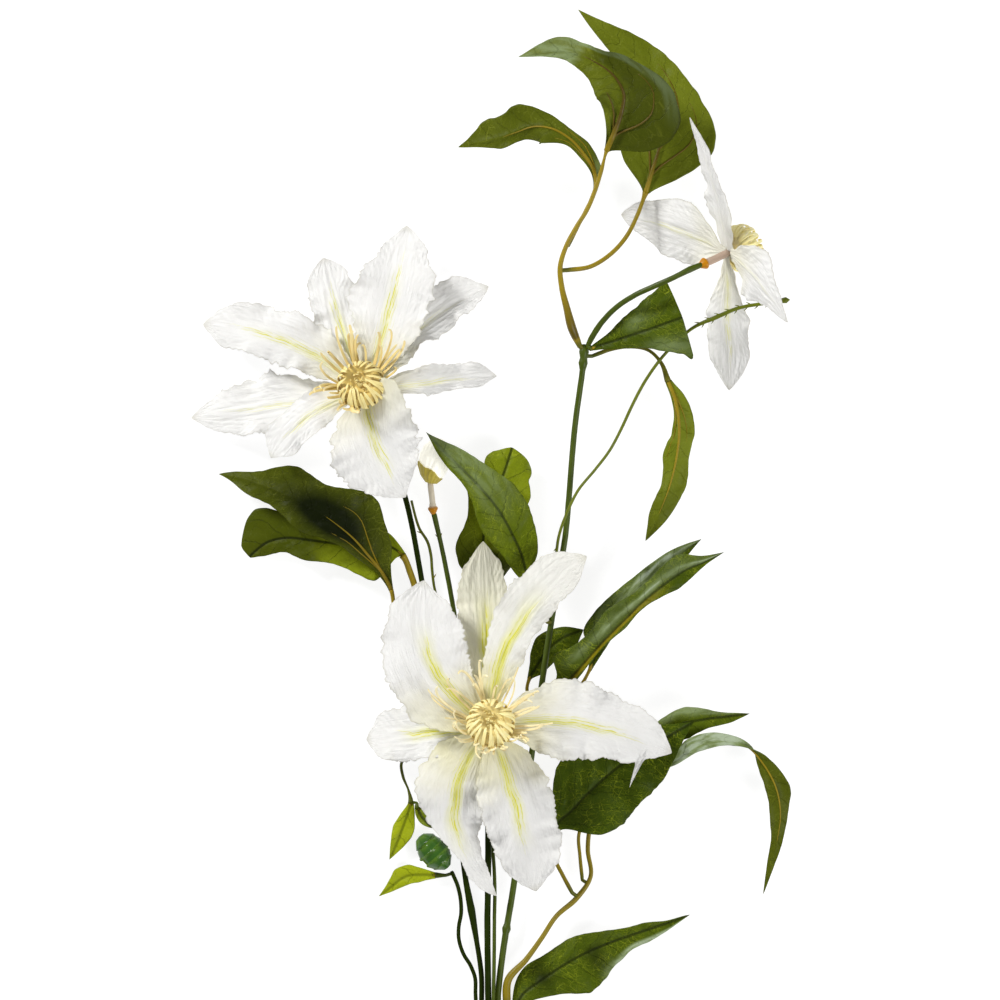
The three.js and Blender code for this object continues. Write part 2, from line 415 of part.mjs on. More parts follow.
// ---------------------------------------------------------------- stems
const STEMS = {
  left_flower_stem: { rings: 20, rows: [
    [-52.4, 37.6, 13.2, 1.1], [-51.6, 34.6, 9.6, 1.1], [-47.4, 25, 8, 1.1], [-38.2, 1.6, 8, 1.1],
    [-31.6, -31.2, 6.5, 1.1], [-28, -56, 5, 1.1], [-22, -96, 4, 1.1], [-16.8, -128, 4, 1.1],
    [-13.6, -154, 4.5, 1.1], [-11.9, -162.6, 4.6, 1.1], [-11.5, -164.8, 4.6, 1.6],
    [-11.1, -167, 4.6, 1.1], [-7.6, -189.6, 4, 1.05], [-7.4, -203.6, 4, 1.05]] },
  centre_flower_stem: { rings: 14, rows: [
    [-3.7, -94.7, 14.8, 1.3], [-3.9, -97, 10.5, 1.3], [-4.3, -104, 8, 1.3], [-4.6, -118, 7, 1.3],
    [-4.8, -146.4, 7, 1.3], [-5.1, -170, 7, 1.3], [-5.2, -172, 7, 1.8], [-5.1, -174, 7, 1.3],
    [-4.9, -190, 7, 1.3], [-4.7, -203.6, 6.8, 1.25]] },
  white_bud_stem: { rings: 18, rows: [
    [-26.5, -5.6, 12, 1], [-25.9, -7.6, 11.6, 1.5], [-25.4, -9.6, 11.2, 1],
    [-20.4, -34, 8, 1], [-16.8, -56, 4.5, 0.9], [-12.8, -88, 2.5, 0.8], [-6, -120, 2.3, 0.75],
    [-2.4, -147.2, 4, 0.75], [-2.3, -172, 6.3, 0.75], [-2.4, -186, 7.4, 0.75],
    [-2.8, -203.4, 8.2, 0.75]] },
  right_flower_stem: { rings: 15, rows: [
    [35, 61.6, 21.5, 1], [36.8, 65.2, 24.5, 1.2], [40.8, 71.2, 30, 1.15],
    [46.8, 77.2, 36, 1.1], [54.4, 82, 41, 1.1], [62.4, 85.6, 43.5, 1.1], [70, 89, 45, 1.1],
    [75, 91.6, 45, 1.1], [76.6, 92.2, 44.7, 1.6], [78.2, 92.9, 44.2, 1.1],
    [79.9, 93.6, 43.35, 1.1]] },
  green_bud_stem: { rings: 11, rows: [
    [-19.2, -149.4, 6.6, 0.8], [-16.4, -156.8, 6, 0.8], [-15.6, -165.2, 5.5, 0.8],
    [-16.8, -174.4, 5, 0.8], [-14.4, -182.8, 4.5, 0.8], [-10.4, -189.6, 4, 0.8],
    [-9.9, -197, 4, 0.8], [-9.6, -203.6, 4, 0.8]] },
  right_tendril: { rings: 16, rows: [
    [22.3, -24, 12, 0.6], [23.2, -16, 15, 0.6], [25.8, -8, 18, 0.6], [30, 2, 19, 0.6],
    [44, 20, 20, 0.6], [56, 44, 22.5, 0.65], [64, 56, 25, 0.65], [76, 68, 28, 0.65],
    [86, 72.8, 30.6, 0.9], [96, 76.8, 31.5, 0.7], [108, 78.8, 31.5, 0.7], [116, 80, 31.4, 0.6]] },
  left_tendril: { rings: 8, rows: [
    [-35.6, 0.2, 11.5, 0.5], [-32.6, -10.8, 11, 0.55], [-28.4, -18.4, 10.5, 0.6],
    [-26.8, -32.4, 9, 0.55], [-25.2, -40, 8, 0.5]] },
};

const MAIN_STEM = [
  [-14, -368.8, 2.6, 0], [-14, -368.4, 2.6, 2.5], [-11, -335, 2.6, 2.6], [-7.6, -295, 2.6, 2.6],
  [-4.4, -255, 2.7, 2.6], [-2.6, -230, 3, 2.7], [-1.9, -221, 4.2, 4.2], [-1.4, -212, 4.6, 4.6],
  [-1.1, -206.6, 4.8, 3.8], [-0.95, -204.6, 5, 1.5], [-0.9, -199, 5, 1.3],
  [0.5, -186, 5, 1.3], [2.2, -174, 5, 1.3], [2.5, -172, 5, 1.8], [2.9, -170, 5, 1.3],
  [5.6, -153.6, 5, 1.25], [12.4, -104, 6, 1.25], [16.4, -76, 8, 1.2], [19.6, -54.8, 9.5, 1.2],
  [23.6, -30, 11, 1.2], [26.4, -12, 13, 1.2], [29.8, 28, 16, 1.2], [33, 52, 19, 1.2],
  [33.2, 54.8, 19.6, 1.9], [33.4, 56.8, 19.8, 1.5], [33.5, 59.2, 20, 2],
  [33.6, 60.6, 20.2, 0]];

// The bud of a fourth flower, cream and closed.
const WHITE_BUD = [
  [-27.7, 6.2, 13.5, 0], [-27.6, 6.9, 13.6, 2.2], [-27.2, 9.4, 13.8, 4.4],
  [-26.6, 13, 14, 5.9], [-25.9, 17, 14.2, 6.2], [-25.2, 21, 14.4, 4.9],
  [-24.6, 24.6, 14.6, 2.4], [-24.2, 27, 14.8, 0]];

// A small green bud wrapped in scales: each step outwards is the edge of a scale.
const GREEN_BUD = [
  [-20.4, -147.8, 7, 0], [-21, -147.2, 7.1, 1.7], [-22.8, -145.2, 7.3, 4.4],
  [-24.8, -143, 7.5, 5.9], [-26.8, -140.8, 7.7, 5.6], [-27.4, -140.2, 7.7, 6.2],
  [-29.6, -137.8, 7.9, 4.6], [-30.2, -137.2, 7.9, 4.9], [-32.2, -135.2, 8.1, 2.2],
  [-33.4, -134, 8.2, 0]];

// ---------------------------------------------------------------- flower centres
// The dome of flat incurved stamens, ribbed like a closed crown.
function stamenDome(flower) {
  const axis = new THREE.Vector3(...flower.axis).normalize();
  const base = new THREE.Vector3(...flower.centre)
    .addScaledVector(axis, flower.topLayer * LEVEL_PITCH + DOME_CLEARANCE);
  const side = new THREE.Vector3(1, 0, 0).cross(axis).normalize();
  const other = new THREE.Vector3().crossVectors(axis, side);
  const points = [base.clone()];
  const columns = DOME_COLUMNS;
  for (const [radius, height] of DOME_PROFILE) {
    for (let k = 0; k < columns; k += 1) {
      const angle = (k / columns) * Math.PI * 2;
      const rib = 1 - DOME_GROOVE * (k % 2) * (height > 0 ? 1 : 0);
      points.push(base.clone()
        .addScaledVector(side, Math.cos(angle) * radius * rib * DOME_RADIUS)
        .addScaledVector(other, Math.sin(angle) * radius * rib * DOME_RADIUS)
        .addScaledVector(axis, height * DOME_HEIGHT));
    }
  }
  points.push(base.clone().addScaledVector(axis, DOME_HOLLOW * DOME_HEIGHT));
  const index = [];
  const last = points.length - 1;
  const top = 1 + (DOME_PROFILE.length - 1) * columns;
  for (let k = 0; k < columns; k += 1) {
    const next = (k + 1) % columns;
    index.push(0, 1 + next, 1 + k, last, top + k, top + next);
    for (let r = 0; r < DOME_PROFILE.length - 1; r += 1) {
      const low = 1 + r * columns;
      const high = low + columns;
      index.push(low + k, low + next, high + next, low + k, high + next, high + k);
    }
  }
  const geometry = new THREE.BufferGeometry();
  const flat = points.flatMap((p) => [p.x, p.y, p.z]);
  geometry.setAttribute('position', new THREE.BufferAttribute(new Float32Array(flat), 3));
  geometry.setIndex(index);
  return geometry;
}

function toManifold(geometry) {
  const vertProperties = new Float32Array(geometry.getAttribute('position').array);
  const triVerts = new Uint32Array(geometry.getIndex().array);
  return new wasm.Manifold(new wasm.Mesh({ numProp: 3, vertProperties, triVerts }));
}

function fromManifold(solid) {
  const mesh = solid.getMesh();
  const geometry = new THREE.BufferGeometry();
  geometry.setAttribute('position', new THREE.BufferAttribute(mesh.vertProperties, 3));
  geometry.setIndex(Array.from(mesh.triVerts));
  return geometry;
}

// One long stamen: a thin curved spike, three sided.
function filament(start, bendPoint, tip, radius) {
  const points = [];
  const steps = [[0, 1], [0.5, 0.9], [0.88, 1]];
  const frameSide = new THREE.Vector3().subVectors(tip, start).normalize();
  const helper = new THREE.Vector3(0.31, 0.24, 0.92).cross(frameSide).normalize();
  const third = new THREE.Vector3().crossVectors(frameSide, helper);
  for (const [u, scale] of steps) {
    const centre = start.clone().multiplyScalar((1 - u) * (1 - u))
      .addScaledVector(bendPoint, 2 * u * (1 - u)).addScaledVector(tip, u * u);
    for (let k = 0; k < 3; k += 1) {
      const angle = (k / 3) * Math.PI * 2;
      points.push(centre.clone().addScaledVector(helper, Math.cos(angle) * radius * scale)
        .addScaledVector(third, Math.sin(angle) * radius * scale));
    }
  }
  points.push(tip.clone());
  const index = [0, 2, 1];
  for (let r = 0; r < 2; r += 1) {
    for (let k = 0; k < 3; k += 1) {
      const next = (k + 1) % 3;
      index.push(r * 3 + k, r * 3 + next, r * 3 + 3 + next);
      index.push(r * 3 + k, r * 3 + 3 + next, r * 3 + 3 + k);
    }
  }
  index.push(6, 7, 9, 7, 8, 9, 8, 6, 9);
  const geometry = new THREE.BufferGeometry();
  const flat = points.flatMap((p) => [p.x, p.y, p.z]);
  geometry.setAttribute('position', new THREE.BufferAttribute(new Float32Array(flat), 3));
  geometry.setIndex(index);
  return geometry;
}

// The hub under the dome and the long stamens that stand out from it, one solid.
function stamenRing(flower) {
  const axis = new THREE.Vector3(...flower.axis).normalize();
  const hubBase = new THREE.Vector3(...flower.centre)
    .addScaledVector(axis, flower.topLayer * LEVEL_PITCH + HUB_CLEARANCE);
  const hub = new THREE.CylinderGeometry(HUB_RADIUS, HUB_RADIUS, HUB_HEIGHT, 12);
  hub.applyQuaternion(new THREE.Quaternion().setFromUnitVectors(new THREE.Vector3(0, 1, 0), axis));
  hub.translate(...hubBase.clone().addScaledVector(axis, HUB_HEIGHT / 2).toArray());
  let solid = toManifold(weldedIndex(hub));
  const side = new THREE.Vector3(1, 0, 0).cross(axis).normalize();
  const other = new THREE.Vector3().crossVectors(axis, side);
  for (let k = 0; k < FILAMENTS; k += 1) {
    const angle = ((k + 0.35 * Math.sin(k * 2.3)) / FILAMENTS) * Math.PI * 2;
    const out = side.clone().multiplyScalar(Math.cos(angle))
      .addScaledVector(other, Math.sin(angle));
    const reach = flower.reach + 3 * Math.sin(k * 1.7);
    const rise = 4.5 + 2 * Math.sin(k * 2.9 + 1);
    const middle = hubBase.clone().addScaledVector(axis, HUB_HEIGHT / 2);
    const start = middle.clone().addScaledVector(out, FILAMENT_START);
    const bendPoint = middle.clone().addScaledVector(out, FILAMENT_BEND * reach);
    const tip = middle.clone().addScaledVector(out, reach).addScaledVector(axis, rise);
    solid = solid.add(toManifold(filament(start, bendPoint, tip, FILAMENT_RADIUS)));
  }
  return fromManifold(solid);
}

// Merges the doubled vertices of a three.js primitive so that it is closed.
function weldedIndex(source) {
  const position = source.getAttribute('position');
  const order = source.getIndex().array;
  const points = [];
  const places = new Map();
  const index = [];
  for (const old of order) {
    const key = [position.getX(old), position.getY(old), position.getZ(old)]
      .map((v) => v.toFixed(4)).join(' ');
    if (!places.has(key)) {
      places.set(key, points.length / 3);
      points.push(position.getX(old), position.getY(old), position.getZ(old));
    }
    index.push(places.get(key));
  }
  const kept = [];
  for (let i = 0; i < index.length; i += 3) {
    const [a, b, c] = [index[i], index[i + 1], index[i + 2]];
    if (a !== b && b !== c && a !== c) kept.push(a, b, c);
  }
  const geometry = new THREE.BufferGeometry();
  geometry.setAttribute('position', new THREE.BufferAttribute(new Float32Array(points), 3));
  geometry.setIndex(kept);
  return geometry;
}

// The sleeve behind a flower, with the round collar where it meets the stem.
function neck(top, direction, length, radius, collar) {
  const steps = [[0, 0], [0.02, radius], [length - 3.6, radius], [length - 3.2, collar * 0.8],
    [length - 1.9, collar], [length - 0.6, collar * 0.8], [length, 0]];
  const rows = steps.map(([distance, r]) => [top.x + direction.x * distance,
    top.y + direction.y * distance, top.z + direction.z * distance, r]);
  return turned(rows);
}

function flowerNeck(flower) {
  const direction = new THREE.Vector3(...flower.sleeve).normalize();
  const top = new THREE.Vector3(...flower.centre).addScaledVector(direction, SLEEVE_START);
  return neck(top, direction, NECK_LENGTH, NECK_RADIUS, COLLAR_RADIUS);
}

function budNeck() {
  const top = new THREE.Vector3(-27.75, 5.6, 13.4);
  const direction = new THREE.Vector3(0.1, -0.99, -0.12).normalize();
  return neck(top, direction, 10.6, 1.2, 1.75);
}

// ---------------------------------------------------------------- the whole spray
function add(group, name, geometry, colour, rough) {
  const material = new THREE.MeshStandardMaterial({ color: colour, roughness: rough });
  material.name = name;
  const mesh = new THREE.Mesh(geometry, material);
  mesh.name = name;
  group.add(mesh);
}

function leafGeometry(spec) {
  const rows = spec.under
    ? spec.rows.map(([x, y, z, left, right, ...rest]) => [x, y, z, right, left, ...rest])
    : spec.rows;
  return blade(rows, spec.under ? DOWN : UP, spec.rings, BLADE_HALF_THICK, STALK_THICKEST,
    LEAF_RUFFLE);
}

const spray = new THREE.Group();
spray.name = 'clematis_spray';
add(spray, 'main_stem', turned(MAIN_STEM), STEM_GREEN, 0.5);
for (const [name, spec] of Object.entries(STEMS)) {
  add(spray, name, stem(spec.rows, spec.rings), STEM_GREEN, 0.5);
}
for (const [name, spec] of Object.entries(LEAVES)) {
  add(spray, name, leafGeometry(spec), LEAF_GREEN, 0.6);
}
const FLOWERS = [
  ['left', LEFT_FLOWER, LEFT_PETALS],
  ['centre', CENTRE_FLOWER, CENTRE_PETALS],
  ['right', RIGHT_FLOWER, RIGHT_PETALS],
];
for (const [side, flower, petals] of FLOWERS) {
  petals.forEach((spec, i) => {
    add(spray, `${side}_petal_${i + 1}`, petal(flower, spec), PETAL_WHITE, 0.8);
  });
  add(spray, `${side}_dome`, stamenDome(flower), STAMEN_CREAM, 0.6);
  add(spray, `${side}_stamens`, stamenRing(flower), STAMEN_CREAM, 0.6);
  add(spray, `${side}_neck`, flowerNeck(flower), NECK_CREAM, 0.4);
}
add(spray, 'white_bud', turned(WHITE_BUD), BUD_CREAM, 0.8);
add(spray, 'white_bud_neck', budNeck(), NECK_CREAM, 0.4);
add(spray, 'green_bud', turned(GREEN_BUD), BUD_GREEN, 0.4);

// The frame's origin is the centre of the bounding box in plan, at its lowest point.
const box = new THREE.Box3().setFromObject(spray);
const shift = new THREE.Vector3(
  -(box.min.x + box.max.x) / 2, -(box.min.y + box.max.y) / 2, -box.min.z);
spray.children.forEach((mesh) => mesh.geometry.translate(shift.x, shift.y, shift.z));

export default spray;
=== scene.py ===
"""Artificial clematis spray lying face up: the looks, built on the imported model's own pieces."""
import math
import random

import bpy
import numpy as np
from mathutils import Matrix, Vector, noise


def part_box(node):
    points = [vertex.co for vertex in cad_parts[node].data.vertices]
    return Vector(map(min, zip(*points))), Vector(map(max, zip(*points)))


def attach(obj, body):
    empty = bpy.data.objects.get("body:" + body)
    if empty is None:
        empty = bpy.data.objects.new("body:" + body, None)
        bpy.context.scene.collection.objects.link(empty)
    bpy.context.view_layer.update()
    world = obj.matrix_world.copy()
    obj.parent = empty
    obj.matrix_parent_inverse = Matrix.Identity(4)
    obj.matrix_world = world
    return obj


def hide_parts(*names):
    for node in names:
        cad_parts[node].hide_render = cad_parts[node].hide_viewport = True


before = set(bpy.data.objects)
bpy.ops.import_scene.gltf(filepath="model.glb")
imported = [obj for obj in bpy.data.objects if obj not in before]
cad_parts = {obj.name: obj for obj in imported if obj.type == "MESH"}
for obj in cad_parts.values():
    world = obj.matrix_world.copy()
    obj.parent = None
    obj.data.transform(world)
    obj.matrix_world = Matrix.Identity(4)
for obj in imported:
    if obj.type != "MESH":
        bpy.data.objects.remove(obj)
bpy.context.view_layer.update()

MM = 0.001                  # metres in a millimetre
FULL_TURN = 2 * math.pi
RING = 8                    # points round each lofted CAD piece
SAME_PLACE = 0.001 * MM     # corners this near to each other are one point
RIM_LEFT, UNDER, RIM_RIGHT, TOP = 0, 2, 4, 6    # places of a blade's edges and faces in a ring
SHEET_ACROSS = (-1, -0.525, 0, 0.525, 1)        # where a ring's points lie across a blade
STALK_WIDTH = 1.9 * MM      # half width under which a leaf's ring is its round stalk
STALK_REACH = 7.0 * MM      # a stalk or stem runs on to another one that begins this near
HUB_REACH = 14.0 * MM       # stems that begin this near the main stem's hub start inside it
HUB_SHARE = 0.3             # share of the way out from the hub's middle at which they start
BRIDGE_POINTS = 3           # added where a stem or stalk is carried on to another one
CARRIER_STEP = 0.5 * MM     # between the points kept along each stem or stalk
PETAL_INSET = 3.0 * MM      # how far each petal runs on under the stamens
STEM_NODES = ("left_flower_stem", "centre_flower_stem", "white_bud_stem", "right_flower_stem",
              "green_bud_stem", "right_tendril", "left_tendril")
ENDS_ON_STEM = "right_tendril"      # its line runs from its free tip to the main stem
CARRIERS = {}               # for each stem or stalk, points along its middle


# -------------------------------- the CAD lofts read back
def rows_of_points(node):
    """The first end point, the aligned rings and the last end point of a lofted CAD node."""
    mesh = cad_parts[node].data
    corners = np.array([v.co[:] for v in mesh.vertices])
    keys, index = np.unique(np.round(corners / SAME_PLACE).astype(int), axis=0,
                            return_inverse=True)
    index = index.reshape(-1)
    places = np.zeros((len(keys), 3))
    places[index] = corners
    near = [set() for _ in keys]
    for edge in mesh.edges:
        a, b = (int(index[v]) for v in edge.vertices)
        if a != b:
            near[a].add(b)
            near[b].add(a)
    ends = [i for i, others in enumerate(near)
            if len(others) == RING and all(len(near[o]) < RING for o in others)]
    spans = [np.linalg.norm(np.mean([places[o] for o in near[end]], axis=0) - places[end])
             for end in ends]
    start = ends[int(np.argmin(spans))]
    seen, layer, rings = {start}, sorted(near[start]), []
    while len(layer) == RING:
        rings.append(layer)
        seen.update(layer)
        layer = sorted({o for i in layer for o in near[i]} - seen)
    centres = [np.mean([places[i] for i in ring], axis=0) for ring in rings]
    steps = [places[start]] + centres + [places[layer[0]]]
    ordered = []
    for r, ring in enumerate(rings):
        walk = [ring[0]]
        while len(walk) < RING:
            walk.append(min(o for o in near[walk[-1]] if o in ring and o not in walk))
        arms = [places[i] - centres[r] for i in walk]
        if sum(np.dot(np.cross(arms[k], arms[(k + 1) % RING]), steps[r + 2] - steps[r])
               for k in range(RING)) > 0:
            walk.reverse()
        if ordered:
            before = ordered[-1]
            first = walk.index(min(near[before[0]] & near[before[-1]] & set(ring)))
            walk = walk[first:] + walk[:first]
        ordered.append(walk)
    return steps[0], np.array([[places[i] for i in ring] for ring in ordered]), steps[-1]


def blade_rows(node):
    """A blade's rings turned so that the left edge comes first and the upper face is at TOP."""
    base, rings, tip = rows_of_points(node)
    spread = np.linalg.norm(rings[:, :4] - rings[:, 4:], axis=2)
    ring, first = np.unravel_index(int(np.argmax(spread)), spread.shape)
    rings = np.roll(rings, -first, axis=1)
    one_side, other_side = (np.linalg.norm(rings[ring, k] - rings[ring, k + 2]) for k in (1, 5))
    if one_side > other_side:
        rings = np.roll(rings, -4, axis=1)
    return base, rings, tip


def round_rows(node):
    """Centres and mean radii of the rings of a turned or drawn CAD node."""
    rings = rows_of_points(node)[1]
    centres = rings.mean(axis=1)
    return centres, np.linalg.norm(rings - centres[:, None], axis=2).mean(axis=1)


def spline(knots, values, where):
    """Catmull-Rom through values at the knots, read at each place, straight on past the ends."""
    knots, values, where = (np.asarray(a, float) for a in (knots, values, where))
    shape = [-1] + [1] * (values.ndim - 1)
    slopes = np.empty_like(values)
    slopes[1:-1] = (values[2:] - values[:-2]) / (knots[2:] - knots[:-2]).reshape(shape)
    slopes[0] = (values[1] - values[0]) / (knots[1] - knots[0])
    slopes[-1] = (values[-1] - values[-2]) / (knots[-1] - knots[-2])
    i = np.clip(np.searchsorted(knots, where, side="right") - 1, 0, len(knots) - 2)
    span = (knots[i + 1] - knots[i])
    u = np.clip((where - knots[i]) / span, 0, 1)
    past = where - np.clip(where, knots[0], knots[-1])
    u, span, past = u.reshape(shape), span.reshape(shape), past.reshape(shape)
    return ((1 + 2 * u) * (1 - u) ** 2 * values[i] + u * (1 - u) ** 2 * span * slopes[i]
            + u * u * (3 - 2 * u) * values[i + 1] + u * u * (u - 1) * span * slopes[i + 1]
            + past * np.where(past > 0, slopes[-1], slopes[0]))


def unit(v):
    return v / np.maximum(np.linalg.norm(v, axis=-1, keepdims=True), 1e-12)


def distances(line):
    """How far along a line of points each of them lies."""
    return np.concatenate([[0], np.cumsum(np.linalg.norm(np.diff(line, axis=0), axis=1))])


class Blade:
    """A leaf's or petal's middle surface, read by the distance along and the share across."""

    def __init__(self, node, inset=0.0):
        base, rings, tip = blade_rows(node)
        middle = (rings[:, UNDER] + rings[:, TOP]) / 2
        rows = np.stack([
            rings[:, RIM_LEFT], (rings[:, 1] + rings[:, 7]) / 2, middle,
            (rings[:, 3] + rings[:, 5]) / 2, rings[:, RIM_RIGHT]], axis=1)
        half = np.linalg.norm(rings[:, RIM_LEFT] - rings[:, RIM_RIGHT], axis=1) / 2
        thick = np.linalg.norm(rings[:, TOP] - rings[:, UNDER], axis=1) / 2
        up = unit(rings[:, TOP] - rings[:, UNDER])
        start, start_half = [np.tile(base, (5, 1))], [0]
        if inset:
            spread = rows[0] - middle[0]
            start = [base - unit(middle[1] - base) * inset + spread, base + spread]
            start_half = [half[0], half[0]]
        ends = len(start)
        self.rows = np.concatenate([start, rows, [np.tile(tip, (5, 1))]])
        self.half = np.concatenate([start_half, half, [0]])
        self.up = np.concatenate([[up[0]] * ends, up, [up[-1]]])
        self.thick = np.concatenate([[thick[0]] * ends, thick, [thick[-1]]])
        self.knots = distances(self.rows[:, 2])
        self.length = self.knots[-1]

    def stalk_end(self):
        """The distance at which the round stalk widens into the blade."""
        wide = np.nonzero(self.half > STALK_WIDTH)[0]
        return self.knots[max(wide[0] - 1, 0)]

    def at(self, along, across):
        """Points at distances along (n) and shares across (n, m): an (n, m, 3) array."""
        rows = spline(self.knots, self.rows, along)
        return np.array([spline(SHEET_ACROSS, row, places) for row, places in zip(rows, across)])

    def up_at(self, along):
        return unit(spline(self.knots, self.up, along))

    def half_at(self, along):
        return np.maximum(spline(self.knots, self.half, along), 0)


# -------------------------------- where stalks join
def centre_line(node, stalk_only=False):
    """Many points along the middle of a stem, or of a leaf's stalk."""
    if stalk_only:
        blade = Blade(node)
        places = np.arange(0, blade.stalk_end(), CARRIER_STEP)
        return spline(blade.knots, blade.rows[:, 2], places)
    first, rings, last = rows_of_points(node)
    line = np.concatenate([[first], rings.mean(axis=1), [last]])
    knots = distances(line)
    places = np.arange(0, knots[-1], CARRIER_STEP)
    return np.stack([np.interp(places, knots, line[:, k]) for k in range(3)], axis=1)


def main_hub():
    """The middle of the thick wrapped hub on the main stem."""
    centres, girth = round_rows("main_stem")
    return centres[int(np.argmax(girth))]


def from_parent(node, line, radius):
    """The line and radii started inside the hub or the nearest stem or stalk, if near enough."""
    best, near = None, STALK_REACH
    hub = main_hub()
    if np.linalg.norm(line[0] - hub) < HUB_REACH:
        best, near = hub + HUB_SHARE * (line[0] - hub), 0.0
    for other, places in CARRIERS.items():
        gaps = np.linalg.norm(places - line[0], axis=1)
        if other != node and gaps.min() < near:
            best, near = places[gaps.argmin()], gaps.min()
    if best is None:
        return line, radius
    steps = np.linspace(0, 1, BRIDGE_POINTS + 1)[:-1, None]
    bridge = best * (1 - steps) + line[0] * steps
    return np.concatenate([bridge, line]), np.concatenate([[radius[0]] * BRIDGE_POINTS, radius])


# -------------------------------- shapes in numbers
def rough(x, y, seed, scale):
    """Smooth noise from -1 to 1 at places in metres, with features about scale metres wide."""
    x, y = np.broadcast_arrays(x, y)
    flat = [noise.noise(Vector((a / scale, b / scale, seed * 7.31)))
            for a, b in zip(x.ravel(), y.ravel())]
    return np.array(flat).reshape(x.shape)


def rise(value, low, high):
    """A smooth step from 0 at low to 1 at high."""
    u = np.clip((value - low) / (high - low), 0, 1)
    return u * u * (3 - 2 * u)


def spot(s, c, along, across, length, width):
    """A soft patch round a place on a leaf."""
    return np.exp(-((s - along) / length) ** 2 - ((c - across) / width) ** 2)


def ring_angles(sides):
    return np.arange(sides) / sides * FULL_TURN


# -------------------------------- mesh making
SPARE_UP = (0.3, 0.9, 0.1)  # any direction, for a tube that runs along its own up


class Parts:
    """Collects the closed shells of one piece, with a value for each point under each label."""

    def __init__(self, *labels):
        self.points, self.faces, self.material_of = [], [], []
        self.values = {label: [] for label in ("side_mm", "along_mm", "seed") + labels}

    def add(self, points, faces, material=0, **values):
        shift = len(self.points)
        self.points.extend(tuple(p) for p in points)
        self.faces.extend(tuple(i + shift for i in face) for face in faces)
        self.material_of.extend([material] * len(faces))
        for label, store in self.values.items():
            given = values.get(label, 0.0)
            if np.isscalar(given):
                given = [given] * len(points)
            store.extend(float(v) for v in given)

    def make(self, node, suffix, slot, *materials):
        """A smooth mesh piece on the root body that stands for the CAD node."""
        mesh = bpy.data.meshes.new(node + suffix)
        mesh.from_pydata(self.points, [], self.faces)
        for label, values in self.values.items():
            layer = mesh.attributes.new(label, "FLOAT", "POINT")
            layer.data.foreach_set("value", np.asarray(values, np.float32))
        for material in materials:
            mesh.materials.append(material)
        mesh.polygons.foreach_set("use_smooth", [True] * len(self.faces))
        mesh.polygons.foreach_set("material_index", self.material_of)
        mesh.validate()
        mesh.update()
        piece = bpy.data.objects.new(node + suffix, mesh)
        bpy.context.scene.collection.objects.link(piece)
        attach(piece, "root")
        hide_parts(node)
        return piece


def tube_faces(rows, sides):
    """Faces of a closed tube of rows rings, with an end point before and after them."""
    faces = []
    last = rows * sides + 1
    top = last - sides
    for k in range(sides):
        n = (k + 1) % sides
        faces.append((0, 1 + n, 1 + k))
        for a in range(1, top, sides):
            faces.append((a + k, a + n, a + sides + n, a + sides + k))
        faces.append((last, top + k, top + n))
    return faces


def capped(first, values, last):
    """A tube's point values, from its rings' values and its two end points'."""
    return np.concatenate([[first], np.ravel(values), [last]])


def tube(line, radii, sides, flat=1.0, up=(0.0, 0.0, 1.0), end=0.3):
    """Points and faces of a closed round or flattened tube along a line of points."""
    radii = np.broadcast_to(np.asarray(radii, float), (len(line),))
    along = unit(np.gradient(line, axis=0))
    side = np.cross(along, np.broadcast_to(np.asarray(up, float), line.shape))
    weak = np.linalg.norm(side, axis=1) < 0.05
    side[weak] = np.cross(along[weak], SPARE_UP)
    side = unit(side)
    above = np.cross(side, along)
    angle = ring_angles(sides)
    ring = (side[:, None] * np.cos(angle)[None, :, None]
            + above[:, None] * np.sin(angle)[None, :, None] * flat)
    body = line[:, None] + ring * radii[:, None, None]
    first = line[0] - along[0] * radii[0] * end
    last = line[-1] + along[-1] * radii[-1] * end
    points = np.concatenate([[first], body.reshape(-1, 3), [last]])
    return points, tube_faces(len(line), sides)


def lifted_tube(line, radii, sides, end, lift):
    """A round tube with each of its ring points moved outwards by lift (rings, sides)."""
    points, faces = tube(line, radii, sides, end=end)
    body = points[1:-1].reshape(len(line), sides, 3)
    body = body + unit(body - line[:, None]) * lift[..., None]
    points[1:-1] = body.reshape(-1, 3)
    return points, faces


def lathe(parts, bottom, rings, top, side, other, sides, **values):
    """Adds a closed turned shell through rings, each a centre and a radius."""
    points = [centre + radius * (side * math.cos(a) + other * math.sin(a))
              for centre, radius in rings for a in ring_angles(sides)]
    faces = [tuple(reversed(face)) for face in tube_faces(len(rings), sides)]
    parts.add([bottom] + points + [top], faces, **values)


def sheet_faces(rows, columns):
    """Faces of a thin closed sheet: upper grid, lower grid and the band round its edge."""
    faces = []
    size = rows * columns
    for r in range(rows - 1):
        for a in range(r * columns, (r + 1) * columns - 1):
            b = a + columns
            faces.append((a, a + 1, b + 1, b))
            faces.append((size + a, size + b, size + b + 1, size + a + 1))
    corner = size - 1
    rim = [*range(columns), *range(2 * columns - 1, size, columns),
           *range(corner - 1, corner - columns, -1), *range(corner + 1 - 2 * columns, 0, -columns)]
    for a, b in zip(rim, rim[1:] + rim[:1]):
        faces.append((a, size + a, size + b, b))
    return faces


def sheet(blade, along, across, lift, thick):
    """A thin closed sheet over a blade: lift (n, m) moves it along its own normal."""
    flat = blade.at(along, across)
    normal = unit(np.cross(np.gradient(flat, axis=1), np.gradient(flat, axis=0)))
    up = blade.up_at(along)[:, None]
    normal = np.where(np.sum(normal * up, axis=2, keepdims=True) < 0, -normal, normal)
    normal = unit(normal + 0.6 * up)
    middle = flat + normal * lift[..., None]
    both = [middle + normal * (thick / 2), middle - normal * (thick / 2)]
    return np.concatenate(both).reshape(-1, 3), sheet_faces(*across.shape), middle, normal


